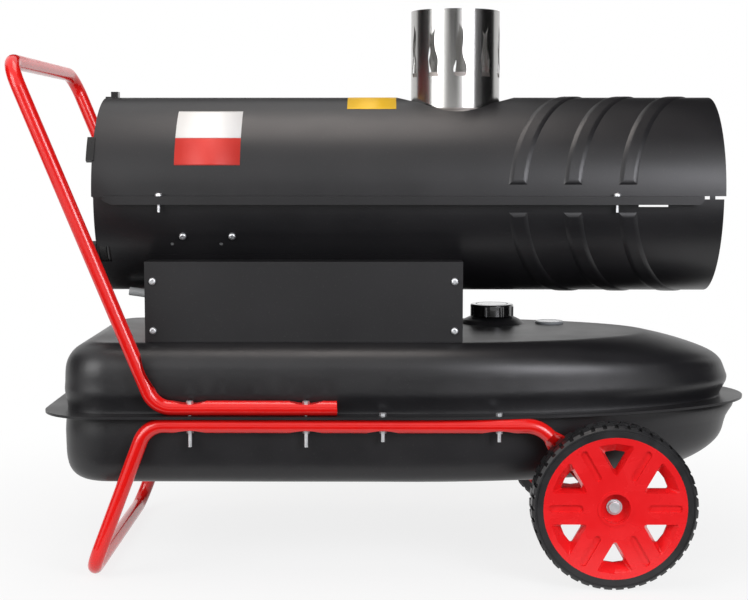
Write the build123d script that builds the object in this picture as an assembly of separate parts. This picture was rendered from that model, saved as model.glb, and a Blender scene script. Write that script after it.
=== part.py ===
from build123d import *
import os
from math import asin, cos, degrees, radians, sin, sqrt, tan

# Forced air heater with a flue, on two wheels. Millimetres, +Z up, +X towards the
# hot-air outlet, Y = 0 on the barrel's axis, Z = 0 on the floor.

os.makedirs("parts", exist_ok=True)

# ---------------------------------------------------------------- fits and hardware
FIT = 0.3               # gap between faces of pieces that are only seated
SEAT = 0.1              # gap under a curved strap or saddle
PAST = 5.0              # cutters run this far past the face that they cut
SCREW_R = 2.0
SCREW_GAP = 0.25
SCREW_HEAD_R = 4.7
SCREW_HEAD_H = 3.8
SCREW_ROUND = 2.4
CROSS_HALF = 2.6        # arm of the cross in a screw's head
CROSS_W = 1.0
CROSS_DEPTH = 1.3

# ---------------------------------------------------------------- wheels
TYRE_R = 103.5
WHEEL_X = 278.0
WHEEL_Z = TYRE_R
WHEEL_HALF = 22.0
RIM_R = TYRE_R - 14.0
RIM_T = 8.0
WEB_Z = 4.0
AXLE_R = 6.0
AXLE_FIT = 0.05
AXLE_PROUD = 4.0
HUB_R = 26.0
HUB_T = 4.0
HUB_FACE = 9.0          # outward of the wheel's middle plane
HUB_BACK = -24.0
RECESS_R = 18.7
RING_R = 22.3
RING_H = 1.0
WINDOW_OUT_R = RIM_R - 10.5
WINDOW_IN_R = HUB_R + 13.3
WINDOW_SLOPE = 0.58     # half the width of a window's mouth, as a share of its length
WINDOW_ROUND = 2.6
WINDOW_Z = 8.0          # the windows narrow down to this height over the middle plane
HOLE_OUT_R = WINDOW_OUT_R - 9.6
HOLE_IN_R = WINDOW_IN_R + 6.4
HOLE_ROUND = 2.0
SPOKES = 6
GROOVE_R0 = HUB_R + 14.0
GROOVE_R1 = RIM_R - 6.5
GROOVE_W = 9.4
GROOVE_DEPTH = 3.0
LUG_COUNT = 44
LUG_DEPTH = 2.6
LUG_GAP = 5.0
LUG_IN = 3.0            # the lugs' gaps start this far from the middle plane
TREAD_GROOVE = 1.5
TYRE_EDGE = 3.5
WALL_GROOVE = (5.2, 6.4, 0.8)   # from and to below the tread, and how deep
SPACER_T = 4.2
SPACER_R = 11.0
RETAINER_R = 9.85
RETAINER_T = 1.4
RETAINER_H = 5.6
RETAINER_WALL = 1.6

# ---------------------------------------------------------------- tank
AXLE_CLEAR = 9.5        # from the axle to the tank's bottom
LOW_DEPTH = 91.5
TOP_DEPTH = 88.5
TANK_LOW_Z = WHEEL_Z + AXLE_R + AXLE_CLEAR
PART_Z = TANK_LOW_Z + LOW_DEPTH     # plane between the two pressings
TANK_TOP_Z = PART_Z + TOP_DEPTH
FLANGE_T = 1.6
TANK_T = 1.5
NOSE_X = 23.5           # the straight sides end here and the rounded nose begins
TANK_LEFT = -426.0
TANK_NOSE = 462.5
TANK_HALF = 184.5
TANK_CORNER = 62.0
FLANGE_LEFT = 23.5      # how far the flange reaches past the wall
FLANGE_SIDE = 22.5
FLANGE_NOSE = 22.0
# distance from the flat top or bottom, side inset, nose inset
TOP_RINGS = ((67.0, 0.2, 0.4), (53.0, 0.4, 2.4), (40.0, 0.9, 8.0), (29.0, 2.4, 20.0),
             (20.0, 6.0, 40.0), (12.0, 11.8, 64.0), (6.0, 19.4, 86.0), (2.0, 28.5, 104.0),
             (0.0, 40.0, 118.0))
LOW_RINGS = ((61.0, 0.2, 0.8), (45.0, 0.5, 5.0), (31.0, 1.2, 14.0), (19.0, 3.6, 29.0),
             (10.0, 8.5, 45.0), (4.0, 15.5, 60.0), (0.0, 29.0, 78.0))

# ---------------------------------------------------------------- barrel
BARREL_UP = 56.0        # from the tank's top to the bottom of the barrel
SHELL_R = 131.0
SHELL_T = 1.2
SHELL_X0 = -387.0       # inlet end
SHELL_X1 = 430.0        # hot-air end
AXIS_Z = TANK_TOP_Z + BARREL_UP + SHELL_R
INNER_R = SHELL_R - SHELL_T
LOWER_TRIM = 2.5        # the lower shell stops this much short at each end
SEAM_W = 12.0
SEAM_LIP_H = 11.0
SEAM_CHAMFER_X0 = 12.0
SEAM_CHAMFER_X1 = 5.5
SEAM_TRIM = 1.0         # the lower flange is this much shorter at each end
SEAM_X0 = SHELL_X0 + 16.0
SEAM_X1 = SHELL_X1 - 30.0
SEAM_EDGE_Y = SHELL_R + SEAM_W
END_GAP_UP = 1.0        # the shells' edges part beyond the seam flanges
END_GAP_DOWN = 3.0
END_TAB_X = SHELL_X1 - 17.5
END_TAB_W = 7.0
END_TAB_DEPTH = 6.0

RIB_X = tuple(SHELL_X1 - back for back in (183.5, 113.0, 42.5))  # on top of the barrel
RIB_LEAN = 0.70         # each rib leans back from there
RIB_HALF = 14.5
RIB_H = 1.5
RIB_ROUND = 12.0        # radius of the shoulders, so that they run out softly
RIB_ROOT = 18.0
RIB_ABOVE = 8.0         # the ribs stop this far above and below the axis
RIB_BELOW = 12.0

# from and to, behind the hot-air end; top and bottom, below the axis
SLOT_NEAR = (112.0, 74.0, 8.7, 12.7)
SLOT_FAR = (76.5, 18.5, 15.0, 25.5)

SEAM_SCREW_X = (SHELL_X0 + 88.0, SHELL_X1 - 140.5)
SEAM_SCREW_Y = SEAM_EDGE_Y - 5.6
SEAM_SCREW_TAIL = 19.5
CLIP_NUT_W = 6.6
CLIP_NUT_H = 3.4

# ---------------------------------------------------------------- inside the barrel
GUARD_X = SHELL_X0 + 3.5
GUARD_R = INNER_R - 5.2
GUARD_WIRE = 1.8
GUARD_GAPS = 4
GUARD_SPOKES = 6
GUARD_TURN = 7.0        # keeps the rings' joints clear of the spokes
SPOKE_WIRE = 1.6
SPOKE_STEP = 1.5        # the spokes lie on the rings' outer side
GUARD_DISC_R = 20.0
GUARD_HUB_R = 28.0
GUARD_DISC_T = 3.4
SIDE_CLIP_DEG = (28.0, 152.0, 215.0, 325.0)
SIDE_CLIP_W = 34.0
SIDE_CLIP_OUT = 7.6     # a side clip stands this far out past the end of the shell
SIDE_CLIP_LAP = 2.4     # and laps this far onto its outer face
SIDE_CLIP_H = 1.8
TOP_CLIP_DEG = 90.0
TOP_CLIP_W = 16.0
TOP_CLIP_OUT = 1.6
TOP_CLIP_LAP = 15.2
TOP_CLIP_H = 1.4
TOP_LUG_X = SHELL_X0 + 5.8
TOP_LUG_H = 7.8
CLIP_IN = 14.5          # the inner leg of each clip reaches this far into the shell
NOTCH_X = (SHELL_X0 + 5.0, SHELL_X0 + 20.0)
NOTCH_DEG = (29.8, 41.0)        # below the horizontal

SHAFT_R = 6.0
SHAFT_FIT = 0.06
MOTOR_LENGTH = 97.0
MOTOR_X0 = SHELL_X0 + 85.5
MOTOR_X1 = MOTOR_X0 + MOTOR_LENGTH
MOTOR_R = 50.0
MOTOR_T = 2.5
END_CAP_T = 4.0
BEARING_R = 16.0
BEARING_IN = 8.0
BEARING_OUT = 7.0
ROTOR_X0 = MOTOR_X0 + 17.0
ROTOR_X1 = MOTOR_X1 - 16.0
STATOR_PAST = 3.0
ROTOR_R = 30.0
AIR_GAP = 0.8
BRACKET_X0 = MOTOR_X0 + 8.0
BRACKET_X1 = MOTOR_X1 + 8.0
BRACKET_T = 1.5
BRACKET_TOP_DEG = 14.0
PLATE_X = (BRACKET_X0 + 12.0, BRACKET_X1 - 30.0)
PLATE_T = 2.0
PLATE_HOLE_R = 19.0
PLATE_HOLE_DEG = 33.0
STRAP_R = INNER_R - SEAT
BRACKET_SCREW_X = (BRACKET_X0 + 23.0, BRACKET_X1 - 10.0)
BRACKET_SCREW_DEG = 23.0        # below the horizontal
SPARE_HOLE_BACK = 14.8
SPARE_HOLE_DEG = 28.1
SPARE_HOLE_R = 2.3

PUMP_LENGTH = 40.0
PUMP_X0 = MOTOR_X0 - PUMP_LENGTH
PUMP_R = 42.0
PUMP_BORE_R = 26.0
PUMP_BORE_DEPTH = 20.0
VANE_ROTOR_R = 24.0
VANE_GAP = 0.6
VANE_DEPTH = 9.0
VANE_T = 2.4
PORT_R = 6.0
PORT_H = 6.0
FILTER_LENGTH = 25.0
FILTER_X0 = PUMP_X0 - FILTER_LENGTH
FILTER_WALL = 4.0
FILTER_BOSS_R = 13.0
FILTER_BOSS_H = 10.0
FILTER_RIBS = 6
FILTER_RIB_T = 3.0

FAN_GAP = 14.0          # from the motor's end to the fan
FAN_LENGTH = 34.0
FAN_X0 = MOTOR_X1 + FAN_GAP
FAN_X1 = FAN_X0 + FAN_LENGTH
FAN_R = INNER_R - 11.8
FAN_HUB_R = 22.0
FAN_BLADES = 5
FAN_BLADE_T = 2.0
FAN_BLADE_W = 62.0
FAN_PITCH = 58.0
SHAFT_END = 4.0

STEEL_T = 1.5
BURNER_LENGTH = 88.0
BURNER_X0 = FAN_X1 + 20.0
CHAMBER_X0 = BURNER_X0 + BURNER_LENGTH
BURNER_R = 48.0
BURNER_FIT = 0.5
DISC_T = 2.0
DISC_X = CHAMBER_X0 - 20.0
DISC_BORE_R = 15.0
DISC_SLOTS = 8
DISC_SLOT_R = (21.0, 39.0)
DISC_SLOT_W = 4.0
SPIDER_X = BURNER_X0 + 14.0
SPIDER_HOLE_R = 12.0
SPIDER_HOLE_AT = 29.0
SPIDER_HOLE_DEG = (-90.0, -22.0, 202.0)
NOZZLE_R = 9.0
NOZZLE_X0 = BURNER_X0 + 12.0
NOZZLE_X1 = CHAMBER_X0 - 32.0
NOZZLE_TIP = 8.0
NOZZLE_TIP_R = 3.0
NOZZLE_PORT_R = 5.0
NOZZLE_PORT_H = 14.0
ELECTRODE_R = 3.2
ELECTRODE_WIRE = 1.2
ELECTRODE_PAST = 7.0
ELECTRODE_X0 = BURNER_X0 + 4.0
ELECTRODE_X1 = CHAMBER_X0 - 30.0
ELECTRODE_DEG = 35.0    # each side of straight up
ELECTRODE_OFF = NOZZLE_R + ELECTRODE_R + 4.8

CHAMBER_LENGTH = 307.0
CHAMBER_X1 = CHAMBER_X0 + CHAMBER_LENGTH
DRUM_R = INNER_R - 23.8
DRUM_IN_R = DRUM_R - 14.0
CHAMBER_R = DRUM_IN_R - 12.0
CHAMBER_DOME = 14.0
DRUM_X0 = CHAMBER_X0 + 32.0
DRUM_X1 = CHAMBER_X1 + 35.0
PIPE_R = 12.0
PIPE_T = 2.0
PIPE_X = CHAMBER_X1 - 22.0
PIPES = 4
WELD_GAP = 0.02
FOOT_X = (DRUM_X0 + 40.0, DRUM_X0 + 260.0)
FOOT_W = 22.0
FOOT_WEB = 2.0
FOOT_Y = (30.0, 85.0)

# ---------------------------------------------------------------- flue
FLUE_X = DRUM_X0 + 103.5
FLUE_R = 60.0
FLUE_T = 1.0
FLUE_H = 130.0
FLUE_SINK = 15.0        # the sleeve starts this far below the top of the barrel
FLUE_Z0 = AXIS_Z + SHELL_R - FLUE_SINK
FLUE_Z1 = FLUE_Z0 + FLUE_H
FLUE_HOLE_X = FLUE_R + 2.5
FLUE_HOLE_Y = FLUE_R + 10.0
DISH_Z = AXIS_Z + SHELL_R - 11.0
DISH_SLOPE = 1.6
DISH_RISE = 16.0
STUB_H = 47.0           # the exchanger's stub reaches this far into the sleeve
STUB_Z1 = FLUE_Z0 + STUB_H
STUB_T = 1.2
STUB_R = FLUE_R - FLUE_T - FIT
SOCKET_DEPTH = 40.0     # a flue pipe pushes into the stub this far, down to a step
SOCKET_STEP = 1.5
BEAD_H = 2.0
FLAME_COUNT = 10
FLAME_TURN = 4.0
FLAME_Z = FLUE_Z0 + 41.5
FLAME_H = 69.0
FLAME_W = 18.5
# across and up, in shares of half the width and of the height
FLAME_SINGLE = ((-0.622, 0.0), (-1.0, 0.116), (-0.546, 0.377), (-0.805, 0.551), (-0.459, 0.754),
                (-0.281, 1.0), (0.432, 0.754), (0.281, 0.435), (0.87, 0.203), (0.73, 0.0))
FLAME_FORKED = ((-0.784, 0.0), (-0.73, 0.145), (-0.87, 0.377), (-0.568, 0.609), (-0.762, 0.884),
                (-0.238, 0.797), (0.173, 0.884), (0.497, 1.0), (0.238, 0.696), (0.389, 0.493),
                (0.784, 0.319), (0.719, 0.145), (0.914, 0.0))
SINGLE_CORNERS = (0, 5, 9)
FORKED_CORNERS = (0, 4, 5, 7, 12)

# ---------------------------------------------------------------- tubes and axle
TUBE_R = 9.5
TUBE_T = 1.2
TUBE_SEAT = 0.05
TUBE_Y = TANK_HALF + TUBE_R + 0.5
FLANGE_TOP = PART_Z + FLANGE_T
FLANGE_LOW = PART_Z - FLANGE_T
HANDLE_Z = FLANGE_TOP + TUBE_R + TUBE_SEAT
FRAME_Z = FLANGE_LOW - TUBE_R - TUBE_SEAT
BEND_R = 32.0
HANDLE_TOP_BEND_R = 34.0
HANDLE_BEND_X = TANK_LEFT + 127.5
HANDLE_LEAN = 176.5     # the handle leans back this far
HANDLE_RISE = 434.8
LEG_BEND_X = HANDLE_BEND_X - 11.5
LEG_LEAN = 72.5
BLADE_T = 4.0
BLADE_W = 27.0
BLADE_ROUND = 1.5
CRUSH_RUN = 14.0
TYRE_CLEAR = 0.8        # from the tyre to the tube where it is crushed flat
FRAME_RUN = 18.0        # from the front bend's corner to where the tube is crushed flat
FRAME_STRAIGHT = 0.8    # of that run, this much is straight
BOLT_PITCH = 147.0
BOLT_R = 2.5
BOLT_HOLE_R = 2.75
BOLT_HEX = 8.0
BOLT_HEAD_H = 3.6
NUT_H = 4.0
NUT_WASHER_R = 5.0
NUT_WASHER_T = 1.0
DIMPLE_R = 62.0
DIMPLE_DEPTH = 4.0
DIMPLE_HALF = 24.0
SEAT_R = 6.0
LONG_TAIL = 17.9        # how far the bolts show below the frame tube
SHORT_TAIL = 10.9

BLADE_Y = TUBE_Y - TUBE_R
WHEEL_Y = BLADE_Y + BLADE_T + SPACER_T + FIT - HUB_BACK
BLADE_REACH = TYRE_R + TUBE_R + TYRE_CLEAR      # the blade starts this far from the axle
FRAME_DROP = FRAME_Z - WHEEL_Z
FRAME_SLOPE = asin(FRAME_DROP / (BLADE_REACH + FRAME_RUN))
FRAME_FRONT_X = WHEEL_X - (BLADE_REACH + FRAME_RUN) * cos(FRAME_SLOPE)
FRONT_BEND_R = (FRAME_RUN - FRAME_STRAIGHT) / tan(FRAME_SLOPE / 2)
HANDLE_BOLT_X = (HANDLE_BEND_X + 44.0, HANDLE_BEND_X + 44.0 + BOLT_PITCH)
HANDLE_END_X = HANDLE_BOLT_X[1] + 39.0
FRAME_BOLT_X = (FRAME_FRONT_X - 51.0 - BOLT_PITCH, FRAME_FRONT_X - 51.0)

# ---------------------------------------------------------------- box under the barrel
BOX_LENGTH = 409.5
BOX_X0 = SHELL_X0 + 69.5
BOX_X1 = BOX_X0 + BOX_LENGTH
BOX_Y = 146.0
BOX_T = 1.2
BOX_DEG = 39.14         # the ledges meet the barrel this far below the horizontal
BOX_Z1 = AXIS_Z - SHELL_R * sin(radians(BOX_DEG))
BOX_IN = BOX_Y - BOX_T
PANEL_Z0 = TANK_TOP_Z + BOX_T
SADDLE_H = 6.7
LEDGE_Y = (SHELL_R + SEAT) * cos(radians(BOX_DEG)) - 11.0
RETURN_W = 22.0
BOX_SCREW_X = (BOX_X0 + 10.5, BOX_X1 - 10.5)
BOX_SCREW_Z = (TANK_TOP_Z + 15.0, BOX_Z1 - 25.3)

CONTROL_Z = TANK_TOP_Z + 53.0
SWITCH_X = BOX_X0 + 71.0
SWITCH_W = 22.0
SWITCH_H = 30.0
SWITCH_RIM = 2.0
SWITCH_GAP = 0.1
SWITCH_WALL = 1.9
SWITCH_POCKET = 12.5
SWITCH_DEPTH = 22.0
ROCKER_W = 17.0
ROCKER_R = 14.0
ROCKER_H = 24.4
ROCKER_TILT = 10.0
ROCKER_DEEP = 4.0
ROCKER_FACE = 6.0
PIVOT_R = 1.8
PIVOT_HALF = SWITCH_W / 2 - 0.6
ROCKER_Y = BOX_Y - 5.0
KNOB_X = SWITCH_X + 80.0
KNOB_R = 17.0
KNOB_H = 15.0
KNOB_GAP = 2.0
KNOB_ROUND = 1.5
KNOB_FLUTES = 12
FLUTE_R = 2.0
SPINDLE_R = 3.0
SPINDLE_LENGTH = 11.0
COLLAR_R = 4.9
COLLAR_PROUD = 1.5
THERMOSTAT_HALF = 18.0
THERMOSTAT_H = 28.0
RESET_X = KNOB_X + 70.0
BUTTON_R = 5.5
BUTTON_PROUD = 6.0
BUTTON_IN = 9.0
BUSH_R = 7.9
BUSH_RIM_R = 10.5
BUSH_RIM_T = 2.5
BUSH_DEPTH = 18.0
BUSH_BORE = 14.0

GLAND_Z = TANK_TOP_Z + 54.0
GLAND_Y = -60.0
GLAND_R = 5.7
GLAND_T = 2.2
GLAND_STEP = 1.0
GLAND_LENGTH = 34.0
GLAND_IN = 9.0
GLAND_TILT = 8.0

BOARD_X1 = BOX_X1 - 62.0
BOARD_LENGTH = 90.0
BOARD_Y = (-90.0, -10.0)
BOARD_UP = 12.0
BOARD_T = 1.6
PILLAR_R = 3.0
BOARD_IN = 6.0
RELAY_W = 20.0
RELAY_H = 14.4
CAPACITOR_R = 8.0
CAPACITOR_H = 18.4
TERMINAL_H = 8.4
COIL_X0 = BOX_X1 - 152.0
COIL_SIZE = (60.0, 70.0, 38.0)
COIL_Y = 30.0
COIL_ROUND = 4.0

# ---------------------------------------------------------------- on and in the tank
FILLER_X = BOX_X1 + 53.0
FILLER_Y = 85.0
FILLER_DOME_R = 46.0
FILLER_DOME_H = 10.4
FILLER_NECK_R = 25.0
FILLER_WALL = 4.0
FILLER_H = 22.0
FILLER_BORE_R = FILLER_NECK_R - FILLER_WALL
FILLER_TOP_Z = TANK_TOP_Z + FILLER_H
CAP_GAP = 0.4
CAP_R = FILLER_NECK_R + CAP_GAP + 7.1
CAP_SKIRT = 11.0        # the cap reaches this far down the neck
CAP_TOP_T = 5.5
CAP_LUGS = 8
CAP_LUG_R = 4.6
CAP_LUG_PROUD = 1.6
CAP_LUG_LOW = 3.0
CAP_ROUND = 2.0
CAP_GROOVE = (9.0, 11.0, 0.8)   # from and to inside the edge, and how deep

GAUGE_X = FILLER_X + 82.0
GAUGE_Y = 80.0
GAUGE_R = 20.2
GAUGE_RIM_H = 3.2
GAUGE_RIM_T = 3.0
GAUGE_FLOOR = 0.8
GAUGE_BODY_R = 14.0
GAUGE_BODY_H = 14.0
GAUGE_PIN_R = 1.2
GAUGE_PIN_H = 1.4
STEM_R = 2.0
STEM_Z0 = TANK_LOW_Z + 18.0
STEM_FOOT_R = 7.0
STEM_FOOT_H = 3.0
LENS_T = 0.8
LENS_SINK = 0.2
LENS_FIT = 0.05
POINTER_UP = 0.3
POINTER_T = 0.9
POINTER_W = 1.8
POINTER_TIP = 13.0
POINTER_TAIL = 5.0
POINTER_HUB_R = 2.6
POINTER_DEG = -120.0
FLOAT_R = 15.0
FLOAT_H = 14.0
FLOAT_GAP = 0.5
FLOAT_ROUND = 2.0

DRAIN_X = WHEEL_X - 24.5
DRAIN_R = 7.0
DRAIN_BOSS = 6.0
DRAIN_HEX = 17.0
DRAIN_HEX_H = 6.5
DRAIN_COLLAR_R = 11.0
DRAIN_COLLAR_T = 1.5
DRAIN_DEPTH = 9.0
PICKUP_X = BOX_X0 + 121.0
PICKUP_Y = 60.0
PICKUP_R = 4.0
PICKUP_T = 1.2
PICKUP_Z0 = TANK_LOW_Z + 13.0
PICKUP_Z1 = TANK_TOP_Z + 19.0
PICKUP_FOOT_R = 8.0
PICKUP_NUT = 15.0
PICKUP_NUT_H = 8.0

# ---------------------------------------------------------------- hoses
HOSE_R = 3.0
HOSE_HOLE = 2.0
AIR_PORT_X = PUMP_X0 + 16.5
AIR_HOSE_X0 = BOX_X0 + 13.5
AIR_HOSE_X1 = BURNER_X0 + 28.0
FUEL_HOSE_X1 = BURNER_X0 + 48.0
HOSE_LOW_Z = TANK_TOP_Z + 31.0
HOSE_BEND = 16.0
HOSE_CUT = 20.0         # corners of the hoses are cut off this far from their ends
FUEL_Y = 24.0
FUEL_Z = TANK_TOP_Z + 17.0
FUEL_BENDS = (8.0, 12.0)
FILTER_MID_X = PICKUP_X + 65.0
FILTER_HALF = 16.0
FILTER_BOWL_R = 9.0
FILTER_BOWL_HALF = 11.0
FILTER_SPIGOT_R = 3.4


# ---------------------------------------------------------------- small helpers
def block(x0, x1, y0, y1, z0, z1):
    """Box between two corners, given in any order."""
    centre = Pos((x0 + x1) / 2, (y0 + y1) / 2, (z0 + z1) / 2)
    return centre * Box(abs(x1 - x0), abs(y1 - y0), abs(z1 - z0))


def rod_x(r, x0, x1, y=0.0, z=AXIS_Z):
    """Cylinder along X."""
    return Pos((x0 + x1) / 2, y, z) * Rot(0, 90, 0) * Cylinder(r, x1 - x0)


def rod_y(r, y0, y1, x, z):
    """Cylinder along Y."""
    return Pos(x, (y0 + y1) / 2, z) * Rot(90, 0, 0) * Cylinder(r, abs(y1 - y0))


def rod_z(r, z0, z1, x=0.0, y=0.0):
    """Cylinder along Z."""
    return Pos(x, y, (z0 + z1) / 2) * Cylinder(r, abs(z1 - z0))


def hex_z(across, z0, z1, x, y):
    """Hexagonal prism along Z."""
    return extrude(Pos(x, y, z0) * RegularPolygon(across / 2, 6, major_radius=False), z1 - z0)


def about_axis(deg, shape):
    """A shape drawn straight above the barrel's axis, turned about that axis."""
    return Pos(0, 0, AXIS_Z) * Rot(deg, 0, 0) * shape


def both_sides(shape):
    """The shape and its mirror image in the plane Y = 0."""
    return [shape, mirror(shape, about=Plane.XZ)]


def group(shapes):
    """Separate solids kept as one piece of hardware."""
    solids = []
    for shape in shapes:
        solids.extend(shape.solids())
    return Compound(children=solids)


def fuse(shapes):
    """Union of several shapes."""
    total = shapes[0]
    for shape in shapes[1:]:
        total = total + shape
    return total


def save(shape, node):
    """Write one node and print its size."""
    export_step(shape, f"parts/{node}.step")
    box = shape.bounding_box()
    solids = shape.solids()
    volume = sum(s.volume for s in solids) / 1000
    print(f"{node:22s} {len(solids):3d} solids {volume:9.2f} cm3  "
          f"X {box.min.X:7.1f} {box.max.X:7.1f}  Y {box.min.Y:7.1f} {box.max.Y:7.1f}  "
          f"Z {box.min.Z:7.1f} {box.max.Z:7.1f}  {all(s.is_valid for s in solids)}")


def screw(tail):
    """Pan-head screw with a cross slot, pointing down from Z = 0."""
    head = rod_z(SCREW_HEAD_R, 0, SCREW_HEAD_H)
    head = fillet(head.edges().group_by(Axis.Z)[-1], SCREW_ROUND)
    floor = SCREW_HEAD_H - CROSS_DEPTH
    head -= block(-CROSS_HALF, CROSS_HALF, -CROSS_W / 2, CROSS_W / 2, floor, SCREW_HEAD_H + PAST)
    head -= block(-CROSS_W / 2, CROSS_W / 2, -CROSS_HALF, CROSS_HALF, floor, SCREW_HEAD_H + PAST)
    return head + rod_z(SCREW_R, -tail, 0)


# ---------------------------------------------------------------- tank
def outline(half, left, corner, nose):
    """Tank's plan: straight sides, two corners at the rear and a rounded nose."""
    reach = nose - NOSE_X
    edges = [
        EllipticalCenterArc((NOSE_X, 0), reach, half, -90, arc_size=90),
        EllipticalCenterArc((NOSE_X, 0), reach, half, 0, arc_size=90),
        Line((NOSE_X, half), (left + corner, half)),
        CenterArc((left + corner, half - corner), corner, 90, 90),
        Line((left, half - corner), (left, corner - half)),
        CenterArc((left + corner, corner - half), corner, 180, 90),
        Line((left + corner, -half), (NOSE_X, -half)),
    ]
    return make_face(edges)


def plan_face(z, side, nose):
    """Tank outline at height z, drawn in from the wall by the side and nose insets."""
    face = outline(TANK_HALF - side, TANK_LEFT + side, TANK_CORNER - side, TANK_NOSE - nose)
    return Pos(0, 0, z) * face


def pressing(rings, end_z, shrink):
    """Solid inside one half of the tank, its skin drawn in by shrink."""
    depth = abs(end_z - PART_Z)
    up = 1 if end_z > PART_Z else -1
    faces = [plan_face(PART_Z, shrink, shrink)]
    for drop, side, nose in rings:
        rise = (depth - drop) * (depth - shrink) / depth
        faces.append(plan_face(PART_Z + up * rise, side + shrink, nose + shrink))
    return loft(faces)


def flange(z0):
    """Welded flange of one pressing."""
    corner = TANK_CORNER + FLANGE_LEFT / 2
    face = outline(TANK_HALF + FLANGE_SIDE, TANK_LEFT - FLANGE_LEFT, corner, TANK_NOSE + FLANGE_NOSE)
    return extrude(Pos(0, 0, z0) * face, FLANGE_T)


def above_tank(z0, z1):
    """Slab over the tank's plan that trims what a loft leaves outside it."""
    return block(TANK_LEFT, TANK_NOSE, -TANK_HALF, TANK_HALF, z0, z1)


def bolt_holes():
    """Clearance holes for the eight bolts that clamp flange, frame and handle."""
    low = FRAME_Z - TUBE_R - PAST
    high = HANDLE_Z + TUBE_R + PAST
    rods = []
    for x in HANDLE_BOLT_X + FRAME_BOLT_X:
        rods += both_sides(rod_z(BOLT_HOLE_R, low, high, x, TUBE_Y))
    return fuse(rods)


def tank_upper():
    skin = pressing(TOP_RINGS, TANK_TOP_Z, 0) + flange(PART_Z)
    skin -= pressing(TOP_RINGS, TANK_TOP_Z, TANK_T)
    for r, x, y in ((FILLER_BORE_R, FILLER_X, FILLER_Y), (GAUGE_BODY_R + FIT, GAUGE_X, GAUGE_Y),
                    (PICKUP_R + FIT, PICKUP_X, PICKUP_Y)):
        skin -= rod_z(r, TANK_TOP_Z - PAST, TANK_TOP_Z + PAST, x, y)
    skin -= above_tank(TANK_TOP_Z, TANK_TOP_Z + PAST)
    return skin - bolt_holes()


def tank_lower():
    skin = pressing(LOW_RINGS, TANK_LOW_Z, 0) + flange(PART_Z - FLANGE_T)
    skin -= above_tank(TANK_LOW_Z - PAST, TANK_LOW_Z)
    skin -= pressing(LOW_RINGS, TANK_LOW_Z, TANK_T)
    boss_top = TANK_LOW_Z + TANK_T + DRAIN_BOSS
    skin += rod_z(DRAIN_R + DRAIN_BOSS, TANK_LOW_Z, boss_top, DRAIN_X)
    skin -= rod_z(DRAIN_R, TANK_LOW_Z - PAST, boss_top + PAST, DRAIN_X)
    return skin - bolt_holes()


def filler_neck():
    """Domed base and neck, welded round the hole in the tank's top."""
    slope = FILLER_DOME_R - FILLER_NECK_R
    profile = make_face(Polyline(
        (FILLER_BORE_R, 0), (FILLER_DOME_R, 0), (FILLER_DOME_R - slope * 0.3, FILLER_DOME_H / 2),
        (FILLER_DOME_R - slope * 0.68, FILLER_DOME_H * 0.86), (FILLER_NECK_R, FILLER_DOME_H),
        (FILLER_NECK_R, FILLER_H), (FILLER_BORE_R, FILLER_H), close=True))
    return Pos(FILLER_X, FILLER_Y, TANK_TOP_Z) * revolve(Plane.XZ * profile, Axis.Z)


def fuel_cap():
    """Cup with grip lugs that rests on the rim of the neck."""
    low = FILLER_TOP_Z - CAP_SKIRT
    top = FILLER_TOP_Z + CAP_TOP_T
    cap = rod_z(CAP_R - CAP_LUG_PROUD, low, top)
    cap = fillet(cap.edges().group_by(Axis.Z)[-1], CAP_ROUND)
    for k in range(CAP_LUGS):
        lug = rod_z(CAP_LUG_R, low, top - CAP_LUG_LOW, CAP_R - CAP_LUG_R)
        cap += Rot(0, 0, (k + 0.5) * 360 / CAP_LUGS) * lug
    cap -= rod_z(FILLER_NECK_R + CAP_GAP, low - PAST, FILLER_TOP_Z)
    from_edge, to_edge, deep = CAP_GROOVE
    groove = rod_z(CAP_R - from_edge, top - deep, top + PAST)
    cap -= groove - rod_z(CAP_R - to_edge, top - PAST, top + PAST)
    return Pos(FILLER_X, FILLER_Y, 0) * cap


def gauge_body():
    """Bezel cup on the tank's top with the guide stem of the float below it."""
    floor = TANK_TOP_Z + GAUGE_FLOOR
    top = TANK_TOP_Z + GAUGE_RIM_H
    low = TANK_TOP_Z - GAUGE_BODY_H
    cup = rod_z(GAUGE_R, TANK_TOP_Z, top) - rod_z(GAUGE_R - GAUGE_RIM_T, floor, top + PAST)
    cup = chamfer(cup.edges().group_by(Axis.Z)[-1], GAUGE_RIM_T / 4)
    cup += rod_z(GAUGE_BODY_R, low, TANK_TOP_Z)
    stem = rod_z(STEM_R, STEM_Z0, low)
    foot = rod_z(STEM_FOOT_R, STEM_Z0 - STEM_FOOT_H, STEM_Z0)
    pin = rod_z(GAUGE_PIN_R, floor, floor + GAUGE_PIN_H)
    return Pos(GAUGE_X, GAUGE_Y, 0) * (cup + stem + foot + pin)


def gauge_lens():
    """Clear disc just under the top of the bezel."""
    top = TANK_TOP_Z + GAUGE_RIM_H - LENS_SINK
    return rod_z(GAUGE_R - GAUGE_RIM_T - LENS_FIT, top - LENS_T, top, GAUGE_X, GAUGE_Y)


def gauge_pointer():
    """Needle that turns about the gauge's middle."""
    z0 = TANK_TOP_Z + GAUGE_FLOOR + POINTER_UP
    z1 = z0 + POINTER_T
    needle = block(-POINTER_TAIL, POINTER_TIP, -POINTER_W / 2, POINTER_W / 2, z0, z1)
    needle += rod_z(POINTER_HUB_R, z0, z1)
    needle -= rod_z(GAUGE_PIN_R + SHAFT_FIT, z0 - PAST, z1 + PAST)
    return Pos(GAUGE_X, GAUGE_Y, 0) * Rot(0, 0, POINTER_DEG) * needle


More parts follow.
